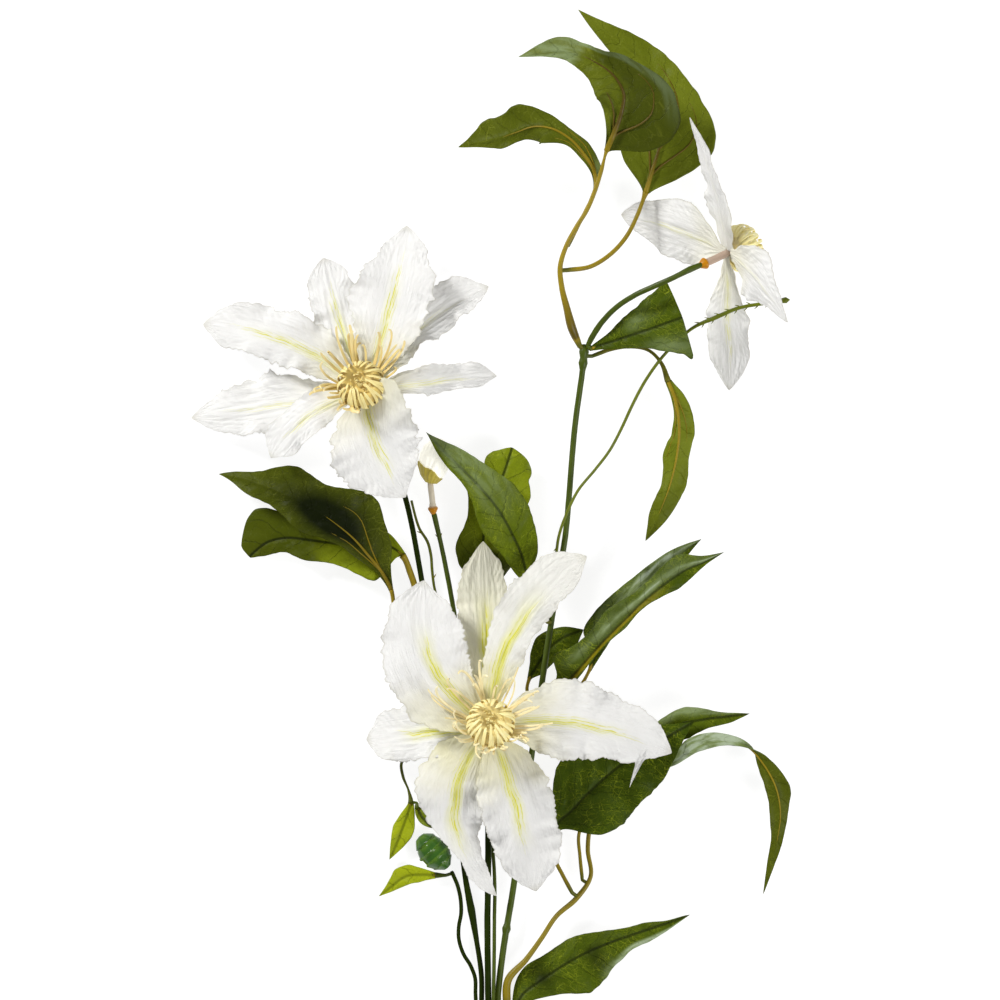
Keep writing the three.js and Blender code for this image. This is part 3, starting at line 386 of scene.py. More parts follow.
def widened(rows, columns, grow):
    """Places across from -1 to 1, (rows, columns), each half widened by its column of grow."""
    across = np.repeat(np.linspace(-1, 1, columns)[None], rows, axis=0)
    return np.where(across < 0, across * grow[:, :1], across * grow[:, 1:])


def twice(a):
    """A sheet's point values, the same for its upper and its lower grid."""
    return np.concatenate([a.ravel(), a.ravel()])


# -------------------------------- material making
class Signal:
    """A shader node's output that can be used in sums written with ordinary signs."""

    def __init__(self, recipe, socket):
        self.recipe, self.socket = recipe, socket

    def __add__(self, other):
        return self.recipe.calc("ADD", self, other)

    def __sub__(self, other):
        return self.recipe.calc("SUBTRACT", self, other)

    def __mul__(self, other):
        return self.recipe.calc("MULTIPLY", self, other)

    def __truediv__(self, other):
        return self.recipe.calc("DIVIDE", self, other)

    def __abs__(self):
        return self.recipe.calc("ABSOLUTE", self)


class Recipe:
    """One material's node tree, built with short calls that each give back a signal."""

    def __init__(self, name):
        self.material = bpy.data.materials.new(name)
        self.material.use_nodes = True
        self.tree = self.material.node_tree
        self.tree.nodes.clear()
        self.output = self.tree.nodes.new("ShaderNodeOutputMaterial")

    def node(self, kind, output, inputs=(), **settings):
        """A new node's output. Its inputs are pairs of a socket and a signal or fixed value."""
        node = self.tree.nodes.new("ShaderNode" + kind)
        for label, setting in settings.items():
            setattr(node, label, setting)
        for socket, given in inputs:
            if isinstance(given, Signal):
                self.tree.links.new(given.socket, node.inputs[socket])
            elif given is not None:
                node.inputs[socket].default_value = given
        return Signal(self, node.outputs[output])

    def calc(self, operation, a, b=0.0, clamp=False):
        return self.node("Math", 0, ((0, a), (1, b)), operation=operation, use_clamp=clamp)

    def values(self, *labels):
        return [self.node("Attribute", "Fac", attribute_name=label) for label in labels]

    def ramp(self, value, low, high, to_low=0.0, to_high=1.0):
        """Smooth step of value from low to high."""
        sockets = ("Value", "From Min", "From Max", "To Min", "To Max")
        return self.node("MapRange", "Result", zip(sockets, (value, low, high, to_low, to_high)),
                         interpolation_type="SMOOTHSTEP")

    def vector(self, x, y, z):
        return self.node("CombineXYZ", 0, zip("XYZ", (x, y, z)))

    def place(self):
        return self.node("TexCoord", "Object")

    def noise(self, vector, scale, detail=3.0, roughness=0.5):
        return self.node("TexNoise", "Fac", (("Vector", vector), ("Scale", scale),
                                             ("Detail", detail), ("Roughness", roughness)))

    def cells(self, vector, scale):
        """Distance to the nearest border of a cell pattern."""
        return self.node("TexVoronoi", "Distance", (("Vector", vector), ("Scale", scale)),
                         feature="DISTANCE_TO_EDGE")

    def mix(self, share, first, second):
        """Two colours mixed, each a signal or three numbers."""
        first, second = ((*c, 1) if isinstance(c, tuple) else c for c in (first, second))
        return self.node("Mix", 2, ((0, share), (6, first), (7, second)), data_type="RGBA")

    def bump(self, height, distance, strength, normal=None):
        return self.node("Bump", 0, (("Height", height), ("Distance", distance),
                                     ("Strength", strength), ("Normal", normal)))

    def surface(self, color, roughness, normal, through=0.0, **fixed):
        """The finished shader, with the share of light that passes through thin cloth."""
        inputs = [("Base Color", color), ("Roughness", roughness), ("Normal", normal)]
        inputs += [(label.replace("_", " "), given) for label, given in fixed.items()]
        result = self.node("BsdfPrincipled", 0, inputs)
        if through:
            thin = self.node("BsdfTranslucent", 0, (("Color", color), ("Normal", normal)))
            result = self.node("MixShader", 0, ((0, through), (1, result), (2, thin)))
        self.tree.links.new(result.socket, self.output.inputs["Surface"])
        return self.material


PETAL_LINES = (             # place across in mm, width, strength and share where it ends
    (0.0, 0.25, 1.0, 0.84), (1.1, 0.18, 1.0, 0.70), (-1.2, 0.18, 0.95, 0.76),
    (2.2, 0.15, 0.75, 0.62), (-2.4, 0.15, 0.75, 0.58), (0.55, 0.12, 0.8, 0.90),
    (3.6, 0.13, 0.5, 0.52), (-3.7, 0.13, 0.5, 0.50))
LINE_FADE = 0.22            # share over which each line fades out


def petal_cloth():
    """White silk: cream and greenish at the base, thin yellow lines along the middle."""
    m = Recipe("petal_silk")
    side, along, share, seed, warm, lines, edge = m.values(
        "side_mm", "along_mm", "share", "seed", "warm", "lines", "edge")
    fibres = m.noise(m.vector(side, along * 0.07, seed), 1.5, 5.0, 0.62)
    soft = m.noise(m.vector(side, along, seed), 0.09)
    widen = (m.calc("POWER", share, 2.0) * 1.7 + 0.5) * (lines * 0.7 + 0.4)
    wander = m.noise(m.vector(side * 0.15, along, seed), 0.08)
    spread = side / widen + (wander - 0.5) * 3.0
    flecks = m.noise(m.vector(side, along * 0.16, seed), 1.3)
    reach = share * m.calc("MAXIMUM", lines * 0.9, 1.0)
    streak = 0.0
    for place, width, strength, end in PETAL_LINES:
        line = (m.ramp(abs(spread - place), width * 0.35, width * 1.5, strength, 0.0)
                * m.ramp(reach, end - LINE_FADE, end, 1.0, 0.0))
        streak = m.calc("MAXIMUM", line, streak)
    streak = streak * (m.ramp(share, 0.10, 0.22) * m.ramp(flecks, 0.36, 0.56, 0.10, 1.0))
    streak = m.calc("MULTIPLY", streak, lines, clamp=True)
    halo = m.ramp(share, 0.08, 0.2) * m.ramp(share, 0.35, 0.8, 1.0, 0.0)
    halo = m.ramp(abs(spread), 0.3, 3.6, 0.7, 0.0) * halo * (lines * warm)
    base = m.ramp(share + soft * 0.24, 0.16, 0.62, 1.0, 0.0) * warm
    base = m.calc("MAXIMUM", base, warm - 1.0)
    white = m.mix(soft, (0.86, 0.85, 0.83), (0.93, 0.925, 0.905))
    white = m.mix(m.ramp(fibres, 0.35, 0.75, 0.0, 0.35), white, (0.97, 0.968, 0.955))
    # Painted shade: a warm grey band along each petal's rim and tip.
    white = m.mix(m.ramp(edge, 0.94, 1.0, 0.0, 0.55), white, (0.66, 0.64, 0.56))
    cream, greenish, yellow = (0.84, 0.80, 0.47), (0.84, 0.83, 0.34), (0.76, 0.74, 0.05)
    color = m.mix(streak, m.mix(halo, m.mix(base, white, cream), greenish), yellow)
    weave = m.noise(m.vector(side * 3.0, along, seed), 2.2, 2.0)
    normal = m.bump(fibres + weave * 0.15, 0.75 * MM, 0.8)
    return m.surface(color, m.ramp(fibres, 0.2, 0.8, 0.58, 0.44), normal, 0.22,
                     Sheen_Weight=0.1, Specular_IOR_Level=0.30)


def leaf_cloth():
    """Printed leaf cloth: dark above with fine pale veins, olive below."""
    m = Recipe("leaf_cloth")
    side, along, seed, upper, tone, edge, satin, gold, shade = m.values(
        "side_mm", "along_mm", "seed", "upper", "tone", "edge", "satin", "gold", "shade")
    here = m.vector(side, along, seed)
    wobble = (m.noise(here, 0.22) - 0.5) * 6.0
    reach = along - abs(side) * 1.05 + wobble
    branch = m.ramp(m.calc("PINGPONG", reach * 0.115, 0.5), 0.462, 0.498)
    branch = branch * m.ramp(edge, 0.92, 0.7)
    bent = m.vector(side + wobble, along + wobble, seed)
    net = m.ramp(m.cells(bent, 0.30), 0.006, 0.032, 1.0, 0.0)
    fine = m.ramp(m.cells(bent, 0.85), 0.010, 0.055, 0.5, 0.0)
    veins = m.calc("MAXIMUM", net, fine) * m.ramp(m.noise(here, 0.13), 0.36, 0.58)
    cloud = m.noise(here, 0.075, 4.0, 0.6)
    grain = m.noise(m.place(), 2600.0, 2.0)
    dark = m.mix(cloud, (0.012, 0.026, 0.001), (0.048, 0.086, 0.003))
    light = m.mix(cloud, (0.135, 0.190, 0.003), (0.33, 0.38, 0.012))
    top = m.mix(tone, dark, light)
    top = m.mix(m.calc("SUBTRACT", tone, 1.0, clamp=True), top, (0.50, 0.56, 0.010))
    top = m.mix(veins * 0.5, top, (0.36, 0.42, 0.02))
    top = m.mix(branch * 0.25, top, (0.010, 0.020, 0.001))
    rib = m.ramp(abs(side), 0.25, 0.8, 1.0, 0.0)
    firm = m.calc("SUBTRACT", 1.85, m.calc("MAXIMUM", tone, 1.0), clamp=True)
    top = m.mix(rib * firm, top, (0.014, 0.022, 0.002))
    dark = m.mix(cloud, (0.030, 0.040, 0.001), (0.075, 0.090, 0.005))
    light = m.mix(cloud, (0.11, 0.14, 0.004), (0.23, 0.27, 0.018))
    low = m.mix(veins * 0.26, m.mix(tone, dark, light), (0.36, 0.40, 0.04))
    color = m.mix(upper, low, top)
    color = m.mix(m.ramp(grain, 0.45, 0.7, 0.0, 0.16), color, (0.18, 0.21, 0.01))
    # Painted highlight: the satin value paints pale grey-green sheen, broken up by wipe, into the
    # colour.
    wipe = m.noise(m.vector(side, along * 0.22, seed), 0.55, 4.0)
    satin = satin * m.ramp(wipe, 0.30, 0.62, 0.3, 1.0)
    color = m.mix(m.calc("MINIMUM", satin, 1.0), color, (0.22, 0.28, 0.12))
    color = m.mix(m.calc("SUBTRACT", satin, 1.0, clamp=True), color, (0.50, 0.58, 0.44))
    color = m.mix(gold, color, (0.26, 0.21, 0.006))
    # Painted shade: darkens the leaf where the shade value is high, for shadows cast by other
    # leaves and dark hollows.
    color = m.mix(shade, color, (0.006, 0.009, 0.001))
    color = m.mix(m.ramp(edge, 0.955, 1.0, 0.0, 0.5), color, (0.05, 0.06, 0.010))
    height = m.noise(here, 1.1, 4.0) * 0.6 - (net * 0.3 + branch)
    normal = m.bump(grain, 0.05 * MM, 0.4, m.bump(height, 0.4 * MM, 0.7))
    return m.surface(color, m.ramp(cloud, 0.2, 0.8, 0.36, 0.50), normal, 0.10,
                     Specular_IOR_Level=0.07)


def moulded(name, low, high, roughness, bump=0.12, tinted=None, deep=None, **fixed):
    """Moulded plastic or paper tape, streaked along its length.

    A tint from 0 to 1 changes its colour to the tinted pair, and from 1 to 2 on to the deep one.
    """
    m = Recipe(name)
    around, along, seed, tint = m.values("side_mm", "along_mm", "seed", "tint")
    grain = m.noise(m.vector(around, along * 0.05, seed), 1.3, 4.0, 0.6)
    patch = m.noise(m.place(), 160.0)
    blend = (grain + patch) * 0.5
    color = m.mix(blend, low, high)
    if tinted:
        color = m.mix(m.calc("MINIMUM", tint, 1.0), color, m.mix(blend, *tinted))
    if deep:
        color = m.mix(m.calc("SUBTRACT", tint, 1.0, clamp=True), color, deep)
    normal = m.bump(grain + patch * 0.4, bump * MM, 0.8)
    return m.surface(color, m.ramp(patch, 0.3, 0.7, roughness - 0.06, roughness + 0.08), normal,
                     **fixed)


PETAL = petal_cloth()
LEAF = leaf_cloth()
TENDRIL = moulded("tendril_plastic", (0.050, 0.075, 0.002), (0.13, 0.16, 0.006), 0.42,
                  tinted=((0.10, 0.11, 0.002), (0.24, 0.27, 0.006)), Specular_IOR_Level=0.2)
STEM = moulded("stem_plastic", (0.014, 0.026, 0.001), (0.086, 0.122, 0.004), 0.42,
               tinted=((0.17, 0.115, 0.002), (0.36, 0.265, 0.010)), deep=(0.040, 0.026, 0.003),
               Specular_IOR_Level=0.22)
DARK_STEM = moulded("dark_stem_plastic", (0.003, 0.007, 0.0002), (0.022, 0.038, 0.001), 0.42,
                    tinted=((0.10, 0.07, 0.002), (0.20, 0.15, 0.008)), Specular_IOR_Level=0.05)
WAXY = dict(deep=(0.10, 0.05, 0.01), Subsurface_Weight=0.12,
            Subsurface_Radius=(0.002, 0.0015, 0.001))
# Painted light: the crown glows faintly, lifting the shade it sits in between the petals.
GLOWING_CROWN = moulded("crown_plastic", (0.84, 0.73, 0.28), (0.95, 0.89, 0.50), 0.45,
                tinted=((0.52, 0.33, 0.035), (0.76, 0.57, 0.13)),
                Emission_Color=(1.0, 0.90, 0.50, 1), Emission_Strength=0.05, **WAXY)
STAMEN = moulded("stamen_plastic", (0.86, 0.76, 0.42), (0.95, 0.89, 0.63), 0.45,
                 tinted=((0.60, 0.41, 0.07), (0.80, 0.61, 0.20)), **WAXY)
GLOSSY_BALL = dict(tinted=((0.38, 0.12, 0.0), (0.58, 0.25, 0.0)), bump=0.08, Coat_Weight=0.25,
                   Coat_Roughness=0.12, Specular_IOR_Level=0.2)
COLLAR = moulded("collar_plastic", (0.38, 0.26, 0.19), (0.56, 0.43, 0.34), 0.32, **GLOSSY_BALL)
IVORY = moulded("bud_sleeve_plastic", (0.56, 0.46, 0.32), (0.86, 0.80, 0.66), 0.32,
                **GLOSSY_BALL)
CUP_COLOURS = ((0.40, 0.31, 0.02), (0.62, 0.51, 0.08))
# Painted light: the bud's cream silk glows, lifting the shade cast on it by the petal and leaf
# above.
GLOWING_BUD_CREAM = moulded("bud_silk", (0.88, 0.86, 0.74), (0.97, 0.96, 0.91), 0.50, bump=0.25,
                    tinted=CUP_COLOURS, Sheen_Weight=0.1,
                    Emission_Color=(1.0, 0.98, 0.90, 1), Emission_Strength=0.42)
BUD_CUP = moulded("bud_cup", *CUP_COLOURS, 0.45)
BUD_GREEN = moulded("bud_plastic", (0.012, 0.050, 0.003), (0.045, 0.135, 0.012), 0.24, bump=0.06,
                    tinted=((0.07, 0.15, 0.006), (0.18, 0.30, 0.02)), Coat_Weight=0.35,
                    Coat_Roughness=0.08, Specular_IOR_Level=0.15)


# -------------------------------- petals
PETAL_ROWS, PETAL_COLUMNS = 118, 57
PETAL_THICK = 0.32 * MM
FRAY = ((2, 8.0 * MM, 0.16), (0, 2.6 * MM, 0.12), (1, 0.8 * MM, 0.07))  # row, scale, share of width
PLEAT, CREASE, FEATHER = 0.15 * MM, 0.36 * MM, 0.62 * MM        # heights of the petals' relief
SOFT_FOLD, RUFFLE, SMALL_RUFFLE, LINE_RIDGE = 2.6 * MM, 2.6 * MM, 1.0 * MM, 0.34 * MM


def petal(node, seed, warm, lines, frayed, trim, lobe):
    """A thin silk petal with creases, soft folds and a wavy, slightly frayed edge."""
    blade = Blade(node, PETAL_INSET)
    chance = random.Random(seed)
    phase = [chance.uniform(0, 6.28) for _ in range(3)][2]     # the third of three draws
    share = np.linspace(0.004, 1, PETAL_ROWS) ** 0.92
    along = share * blade.length * 0.997
    grow = np.ones((PETAL_ROWS, 2))
    for k in (0, 1):
        ragged = sum(rough(along, y, seed + k * 0.5, scale) * width for y, scale, width in FRAY)
        grow[:, k] = 1 + ragged * frayed * np.clip(share * 4, 0, 1)
    if trim:
        edge, amount, place, length = trim
        grow[:, edge] -= amount * np.exp(-((share - place) / length) ** 2)
    across = widened(PETAL_ROWS, PETAL_COLUMNS, grow)
    half = blade.half_at(along)[:, None]
    x = across * half
    y = np.repeat(along[:, None], PETAL_COLUMNS, axis=1)
    t = np.minimum(np.abs(across), 1.4)
    s = share[:, None]
    fan = across * 10 * MM
    body = np.clip(half / (6 * MM), 0, 1)
    bend = rough(x, y * 0.5, seed + 17, 8 * MM)
    pleat = PLEAT * np.abs(np.sin(fan / (0.72 * MM) + 3.0 * bend))
    crease = CREASE * rough(fan * 2.6, y * 0.45, seed + 3, 4 * MM)
    course = (y - 1.6 * np.abs(x)) / (1.35 * MM) + 3.4 * rough(x, y, seed + 7, 8 * MM)
    feather = FEATHER * (np.abs(np.sin(course)) - 0.6) * np.clip(t * 1.7 - 0.15, 0, 1) * (
        0.35 + 0.65 * np.abs(rough(x, y, seed + 13, 7 * MM)))
    soft = SOFT_FOLD * rough(x, y * 0.6, seed + 5, 11 * MM) * (0.3 + 0.7 * t)
    ruffle = (t ** 2.2) * np.sin(math.pi * np.clip(s * 1.05, 0, 1)) * (
        RUFFLE * np.sin(y / (3.4 * MM) + phase + 1.7 * np.sign(across)
                        + 2.8 * rough(0.0, y, seed + 11, 9 * MM))
        + SMALL_RUFFLE * rough(0.0, y, seed + 9, 2.8 * MM))
    rib = LINE_RIDGE * (np.exp(-(x / (0.7 * MM)) ** 2)
                        + 0.6 * np.exp(-((np.abs(x) - 2.6 * MM * (0.4 + s)) / (0.6 * MM)) ** 2))
    lift = body * (pleat * (1 - 0.5 * t) + crease + feather + soft
                   + ruffle * (0.35 + 0.65 * frayed) - rib * np.clip((0.9 - s) * 3, 0, 1))
    points, faces, middle, normal = sheet(blade, along, across, lift, PETAL_THICK)
    if lobe:
        edge, place, length, out, back, up = lobe
        weight = np.exp(-((s - place) / length) ** 2) * np.clip(edge * across, 0, 1) ** 0.8
        weight = (weight * np.clip(s * 20, 0, 1))[..., None]
        aside = unit(middle[:, -1] - middle[:, 0])[:, None] * edge
        ahead = unit(np.gradient(middle[:, PETAL_COLUMNS // 2], axis=0))[:, None]
        raised = normal[:, PETAL_COLUMNS // 2][:, None]
        shift = (weight * (aside * out - ahead * back + raised * up) * MM).reshape(-1, 3)
        points = points + np.concatenate([shift, shift])
    parts = Parts("share", "warm", "lines", "edge")
    rim = np.maximum(np.abs(np.linspace(-1, 1, PETAL_COLUMNS))[None], s)
    parts.add(points, faces, side_mm=twice(x / MM), along_mm=twice(y / MM),
              share=twice(np.repeat(s, PETAL_COLUMNS, axis=1)), seed=seed * 3.7,
              warm=warm, lines=lines, edge=twice(rim))
    parts.make(node, "_silk", "petal", PETAL)


# -------------------------------- leaves
LEAF_THICK = 0.36 * MM
LEAF_ROW, LEAF_COLUMN = 0.65 * MM, 0.42 * MM    # between the rows and columns of a leaf's mesh
LEAF_ROWS, LEAF_COLUMNS = (30, 100), (13, 43)   # fewest and most
RIBBED_FROM = 5 * MM        # half width from which a leaf has side ribs
GROOVE, QUILT, LEAF_FOLD = 0.5 * MM, 0.42 * MM, 1.5 * MM        # heights of the leaves' relief
LEAF_DENT, EDGE_WAVE = 0.22 * MM, 1.4 * MM
MIDRIB, MIDRIB_TIP, SIDE_RIB = 0.72 * MM, 0.08 * MM, 0.40 * MM  # radii
STALK_SIDES, MIDRIB_SIDES, SIDE_RIB_SIDES = 12, 8, 6
RIB_FLAT = 0.75             # height of a rib by its width
RIB_SINK = 0.08 * MM        # side ribs lie this and 3/4 of their radius under the cloth's middle
SIDE_RIB_SPANS = ((0.03, 0.42, 0.66), (0.17, 0.58, 0.60), (0.36, 0.72, 0.55))   # from, to, out


def leaf(node, seed, tone, satin=None, shade=None, gold=None, ribs=3, brown=0.0, midrib=0.8,
         bold=1.0, stalk=1.0, sleeve=0.0, wave=5.2, lobes=0.10, blunt=0.0):
    """A leaf of printed cloth on its stalk, with raised ribs below and sunk ones above.

    satin(s, c), gold(s, c) and shade(s, c) give painted sheen (pale painted highlights), gold and
    painted shade by share along and place across. The stalk and ribs are in a second material.
    """
    blade = Blade(node)
    chance = random.Random(seed * 17)
    start = blade.stalk_end()
    reach = blade.length * 0.998 - start
    rows = int(np.clip(reach / LEAF_ROW, *LEAF_ROWS))
    widest = blade.half.max()
    columns = int(np.clip(widest / LEAF_COLUMN, *LEAF_COLUMNS)) // 2 * 2 + 1
    share = np.linspace(0, 1, rows) ** 0.95
    along = start + share * reach
    phase = [chance.uniform(0, 6.28) for _ in range(3)]
    grow = np.ones((rows, 2))
    for k in (0, 1):
        slow = np.sin(along / (wave * MM) + phase[k] + 1.6 * rough(k, 0, seed, 1.0)) * lobes
        fine = rough(along, 0, seed + k * 0.5, 3 * MM) * 0.04
        grow[:, k] = 1 + (slow + fine) * np.clip(share * 5, 0, 1) + blunt * rise(share, 0.84, 0.97)
    across = widened(rows, columns, grow)
    half = blade.half_at(along)[:, None]
    x = across * half
    y = np.repeat(along[:, None], columns, axis=1)
    t = np.abs(across)
    s = np.repeat(share[:, None], columns, axis=1)
    wobble = 2.2 * MM * rough(x, y, seed + 6, 6 * MM)
    between = np.abs(np.sin(math.pi * (y - 1.05 * np.abs(x) + wobble) / (8.7 * MM)))
    quilt = QUILT * between * np.clip(np.abs(x) / (2.5 * MM), 0, 1) * (1 - t ** 4)
    soft = LEAF_FOLD * rough(x, y, seed + 2, 12 * MM) * (0.3 + 0.7 * t)
    edge_wave = (t ** 2.6) * np.sin(math.pi * np.clip(s, 0, 1)) * (
        EDGE_WAVE * np.sin(y / (3.8 * MM) + phase[2] + 1.9 * np.sign(across)
                           + 2.0 * rough(0.0, y, seed + 8, 9 * MM)))
    lift = np.clip(half / (5 * MM), 0, 1) * (
        -GROOVE * np.exp(-(x / (0.8 * MM)) ** 2) + quilt + soft
        + LEAF_DENT * rough(x, y, seed + 4, 2.4 * MM) + edge_wave)
    points, faces, middle, normal = sheet(blade, along, across, lift, LEAF_THICK)
    # satin and shade are painted sheen and painted shade; gold is the leaf's own colour.
    gold_and_painted_light = {label: twice(np.clip(painted_light_or_gold(s, across), 0, most)) for label, painted_light_or_gold, most in
              (("satin", satin, 2), ("gold", gold, 1), ("shade", shade, 1)) if painted_light_or_gold}
    parts = Parts("upper", "tone", "edge", "tint", "gold", "satin", "shade")
    parts.add(points, faces, side_mm=twice(x / MM), along_mm=twice(y / MM), seed=seed * 5.3,
              tone=tone, upper=np.repeat([1.0, 0.0], rows * columns), edge=twice(t / t.max()),
              **gold_and_painted_light)
    add_stalk(parts, node, blade, start, seed, stalk, sleeve)
    add_midrib(parts, middle, normal, along, share, seed, brown, midrib, bold)
    if widest >= RIBBED_FROM:
        add_side_ribs(parts, middle, normal, seed, SIDE_RIB_SPANS[:ribs], brown, bold)
    parts.make(node, "_cloth", "leaf", LEAF, STEM)


def add_stalk(parts, node, blade, start, seed, stalk, sleeve):
    """The round stalk from where it leaves its stem to where the blade begins."""
    distance = np.linspace(0, start, max(int(start / (0.8 * MM)), 3))
    centre = spline(blade.knots, blade.rows[:, 2], distance)
    inner = np.clip(distance, blade.knots[1], None)
    radius = (spline(blade.knots, blade.half, inner) + spline(blade.knots, blade.thick, inner)) / 2
    centre, radius = from_parent(node, centre, np.clip(radius, 0.45 * MM, 2.0 * MM))
    points, faces = tube(centre, radius, STALK_SIDES)
    rows = np.repeat(np.arange(len(centre)) * start / len(centre), STALK_SIDES)
    rows = capped(0, rows, start) / MM
    tint = np.clip((rows - 2) / 5, 0.25, 1) * stalk
    tint = tint + sleeve * np.clip((rows - 5) / 2, 0, 1) * np.clip((26 - rows) / 16, 0, 1)
    parts.add(points, faces, 1, side_mm=np.arange(len(points)) % STALK_SIDES * 0.5,
              along_mm=rows, tint=tint, seed=seed)


def add_midrib(parts, middle, normal, along, share, seed, brown, midrib, bold):
    """The raised midrib on the underside, tapering into the blade."""
    end, centre = int(len(along) * midrib), middle.shape[1] // 2
    share, below = share[:end], normal[:end, centre]
    taper = MIDRIB * bold * np.clip(1 - share / midrib, 0, 1) ** 0.9 + MIDRIB_TIP
    sink = np.clip(share / 0.07, 0, 1)
    line = middle[:end, centre] - below * (taper * 0.75 * sink + 0.05 * MM)[:, None]
    points, faces = tube(line, taper, MIDRIB_SIDES, flat=RIB_FLAT, up=below)
    tint = 1.0 + brown * np.clip(share * 6, 0, 1)
    parts.add(points, faces, 1, side_mm=np.arange(len(points)) % MIDRIB_SIDES * 0.4,
              along_mm=capped(0, np.repeat(along[:end] / MM, MIDRIB_SIDES), 0),
              tint=capped(1, np.repeat(tint, MIDRIB_SIDES), tint[-1]), seed=seed)


def add_side_ribs(parts, middle, normal, seed, spans, brown, bold):
    """The raised side ribs on the underside, curving from the midrib towards the edge."""
    rows, columns = middle.shape[:2]
    chance = random.Random(seed * 29)
    u = np.linspace(0, 1, 16)
    for side in (-1, 1):
        for first, far, out in spans:
            first += chance.uniform(0.0, 0.06)
            far += chance.uniform(-0.08, 0.05)
            out *= chance.uniform(0.7, 1.1)
            r = (first + (far - first) * u ** 1.2) * (rows - 1)
            c = columns // 2 + side * out * np.sin(u * math.pi / 2) ** 1.2 * (columns // 2)
            r0, c0 = r.astype(int), c.astype(int)
            fr, fc = (r - r0)[:, None], (c - c0)[:, None]
            r1, c1 = np.minimum(r0 + 1, rows - 1), np.minimum(c0 + 1, columns - 1)
            place = ((middle[r0, c0] * (1 - fc) + middle[r0, c1] * fc) * (1 - fr)
                     + (middle[r1, c0] * (1 - fc) + middle[r1, c1] * fc) * fr)
            thin = SIDE_RIB * bold * (1 - 0.8 * u)
            line = place - normal[r0, c0] * (RIB_SINK + thin[:, None] * 0.75)
            points, faces = tube(line, thin, SIDE_RIB_SIDES, flat=RIB_FLAT, up=normal[r0, c0])
            parts.add(points, faces, 1, side_mm=np.arange(len(points)) % SIDE_RIB_SIDES * 0.3,
                      along_mm=capped(0, np.repeat(u * 12, SIDE_RIB_SIDES), 12),
                      tint=1.0 + brown * 0.9, seed=seed)


# -------------------------------- stems, sleeves and buds
STEM_SIDES = 16
STEM_STEP, SLEEVE_STEP = 1.6 * MM, 0.5 * MM     # most between two rings of their skins
STEM_RIDGES, STEM_BUMPS = 0.035, 0.05           # shares of a stem's radius
STEM_BUMP_SIZE = 3.2 * MM
END_BUD, END_POINT = 0.75 * MM, 0.2 * MM        # a tendril's end: how much wider, its tip's radius
THORN = 0.42 * MM           # radius of a thorn's foot
CUP_TURN = -1.57            # which side of the white bud its olive cup is highest on
NECK_REACH = 2.0 * MM       # how far a sleeve runs on into its bloom and its stem
SLEEVE_END = 0.70           # where along it a sleeve ends and its ball begins
SLEEVE_WAVE, BALL_SWELL, BALL_GROOVE = 0.05 * MM, 0.42 * MM, 0.3 * MM
BUD_FOLD, CUP_LIP, BUD_CREASE, BUD_SINK = 0.75 * MM, 0.45 * MM, 0.14 * MM, 0.35 * MM
SCALE_ROWS = SCALES_ROUND = 5.0         # of the green bud
SCALE_HEIGHT, SCALE_SINK = 0.42 * MM, 0.1 * MM
BUD_SIDES = 96
WHITE_BUD_STEP, GREEN_BUD_STEP = 0.35 * MM, 0.3 * MM


def finer(centres, radii, step):
    """Ring centres, radii and distances through the given rings, at most step apart."""
    knots = distances(centres)
    places = [0.0]
    for knot, gap in zip(knots, np.linalg.norm(np.diff(centres, axis=0), axis=1)):
        count = max(int(math.ceil(gap / step)), 2)
        places.extend(knot + gap * (i + 1) / count for i in range(count))
    return spline(knots, centres, places), np.interp(places, knots, radii), np.array(places)


def stem(node, seed, tint=0.0, barbs=(), grow=0.0, material=STEM, bud=0.0):
    """A drawn plastic stem, lightly ridged, with small bumps and the node rings it has."""
    line, width, places = finer(*round_rows(node), STEM_STEP)
    if node in STEM_NODES:
        turn = -1 if node == ENDS_ON_STEM else 1
        line, width = from_parent(node, line[::turn], width[::turn])
        line, width = line[::turn], width[::turn]
        places = distances(line)
    if grow:
        line = np.concatenate([line, [line[-1] + unit(line[-1] - line[-2]) * grow]])
        width = np.append(width, width[-1] * 0.8)
        places = np.append(places, places[-1] + grow)
    if bud:
        width = width + END_BUD * np.exp(-((places - bud * 0.55) / (bud * 0.35)) ** 2)
        width[0] = END_POINT
    angle = ring_angles(STEM_SIDES)
    bumps = rough(places[:, None], (angle * 3 * MM)[None], seed, STEM_BUMP_SIZE) * STEM_BUMPS
    lift = (STEM_RIDGES * np.cos(angle * 5)[None] + bumps) * width[:, None]
    points, faces = lifted_tube(line, width, STEM_SIDES, 0.15, lift)
    parts = Parts("tint")
    parts.add(points, faces, side_mm=capped(0, np.tile(angle * 1.2, len(line)), 0),
              along_mm=capped(0, np.repeat(places, STEM_SIDES), places[-1]) / MM,
              seed=seed, tint=tint)
    for share, length, turn in barbs:
        add_barb(parts, line, width, share, length, turn, seed)
    parts.make(node, "_skin", "stem", material)


def add_barb(parts, line, width, share, length, turn, seed):
    """A small thorn on a stem, leaning towards its tip."""
    r = min(int(share * (len(line) - 1)), len(line) - 2)
    along = unit(line[r + 1] - line[r])
    side = unit(np.cross(along, (0.0, 0.0, 1.0)))
    out = side * math.cos(turn) + np.cross(side, along) * math.sin(turn)
    u = np.linspace(0, 1, 5)[:, None]
    spine = line[r] + out * (width[r] * 0.5 + length * u * 0.8) + along * length * 0.9 * u ** 1.6
    points, faces = tube(spine, THORN * (1 - 0.85 * u[:, 0]), 6)
    parts.add(points, faces, along_mm=1.0, tint=0.6, seed=seed)


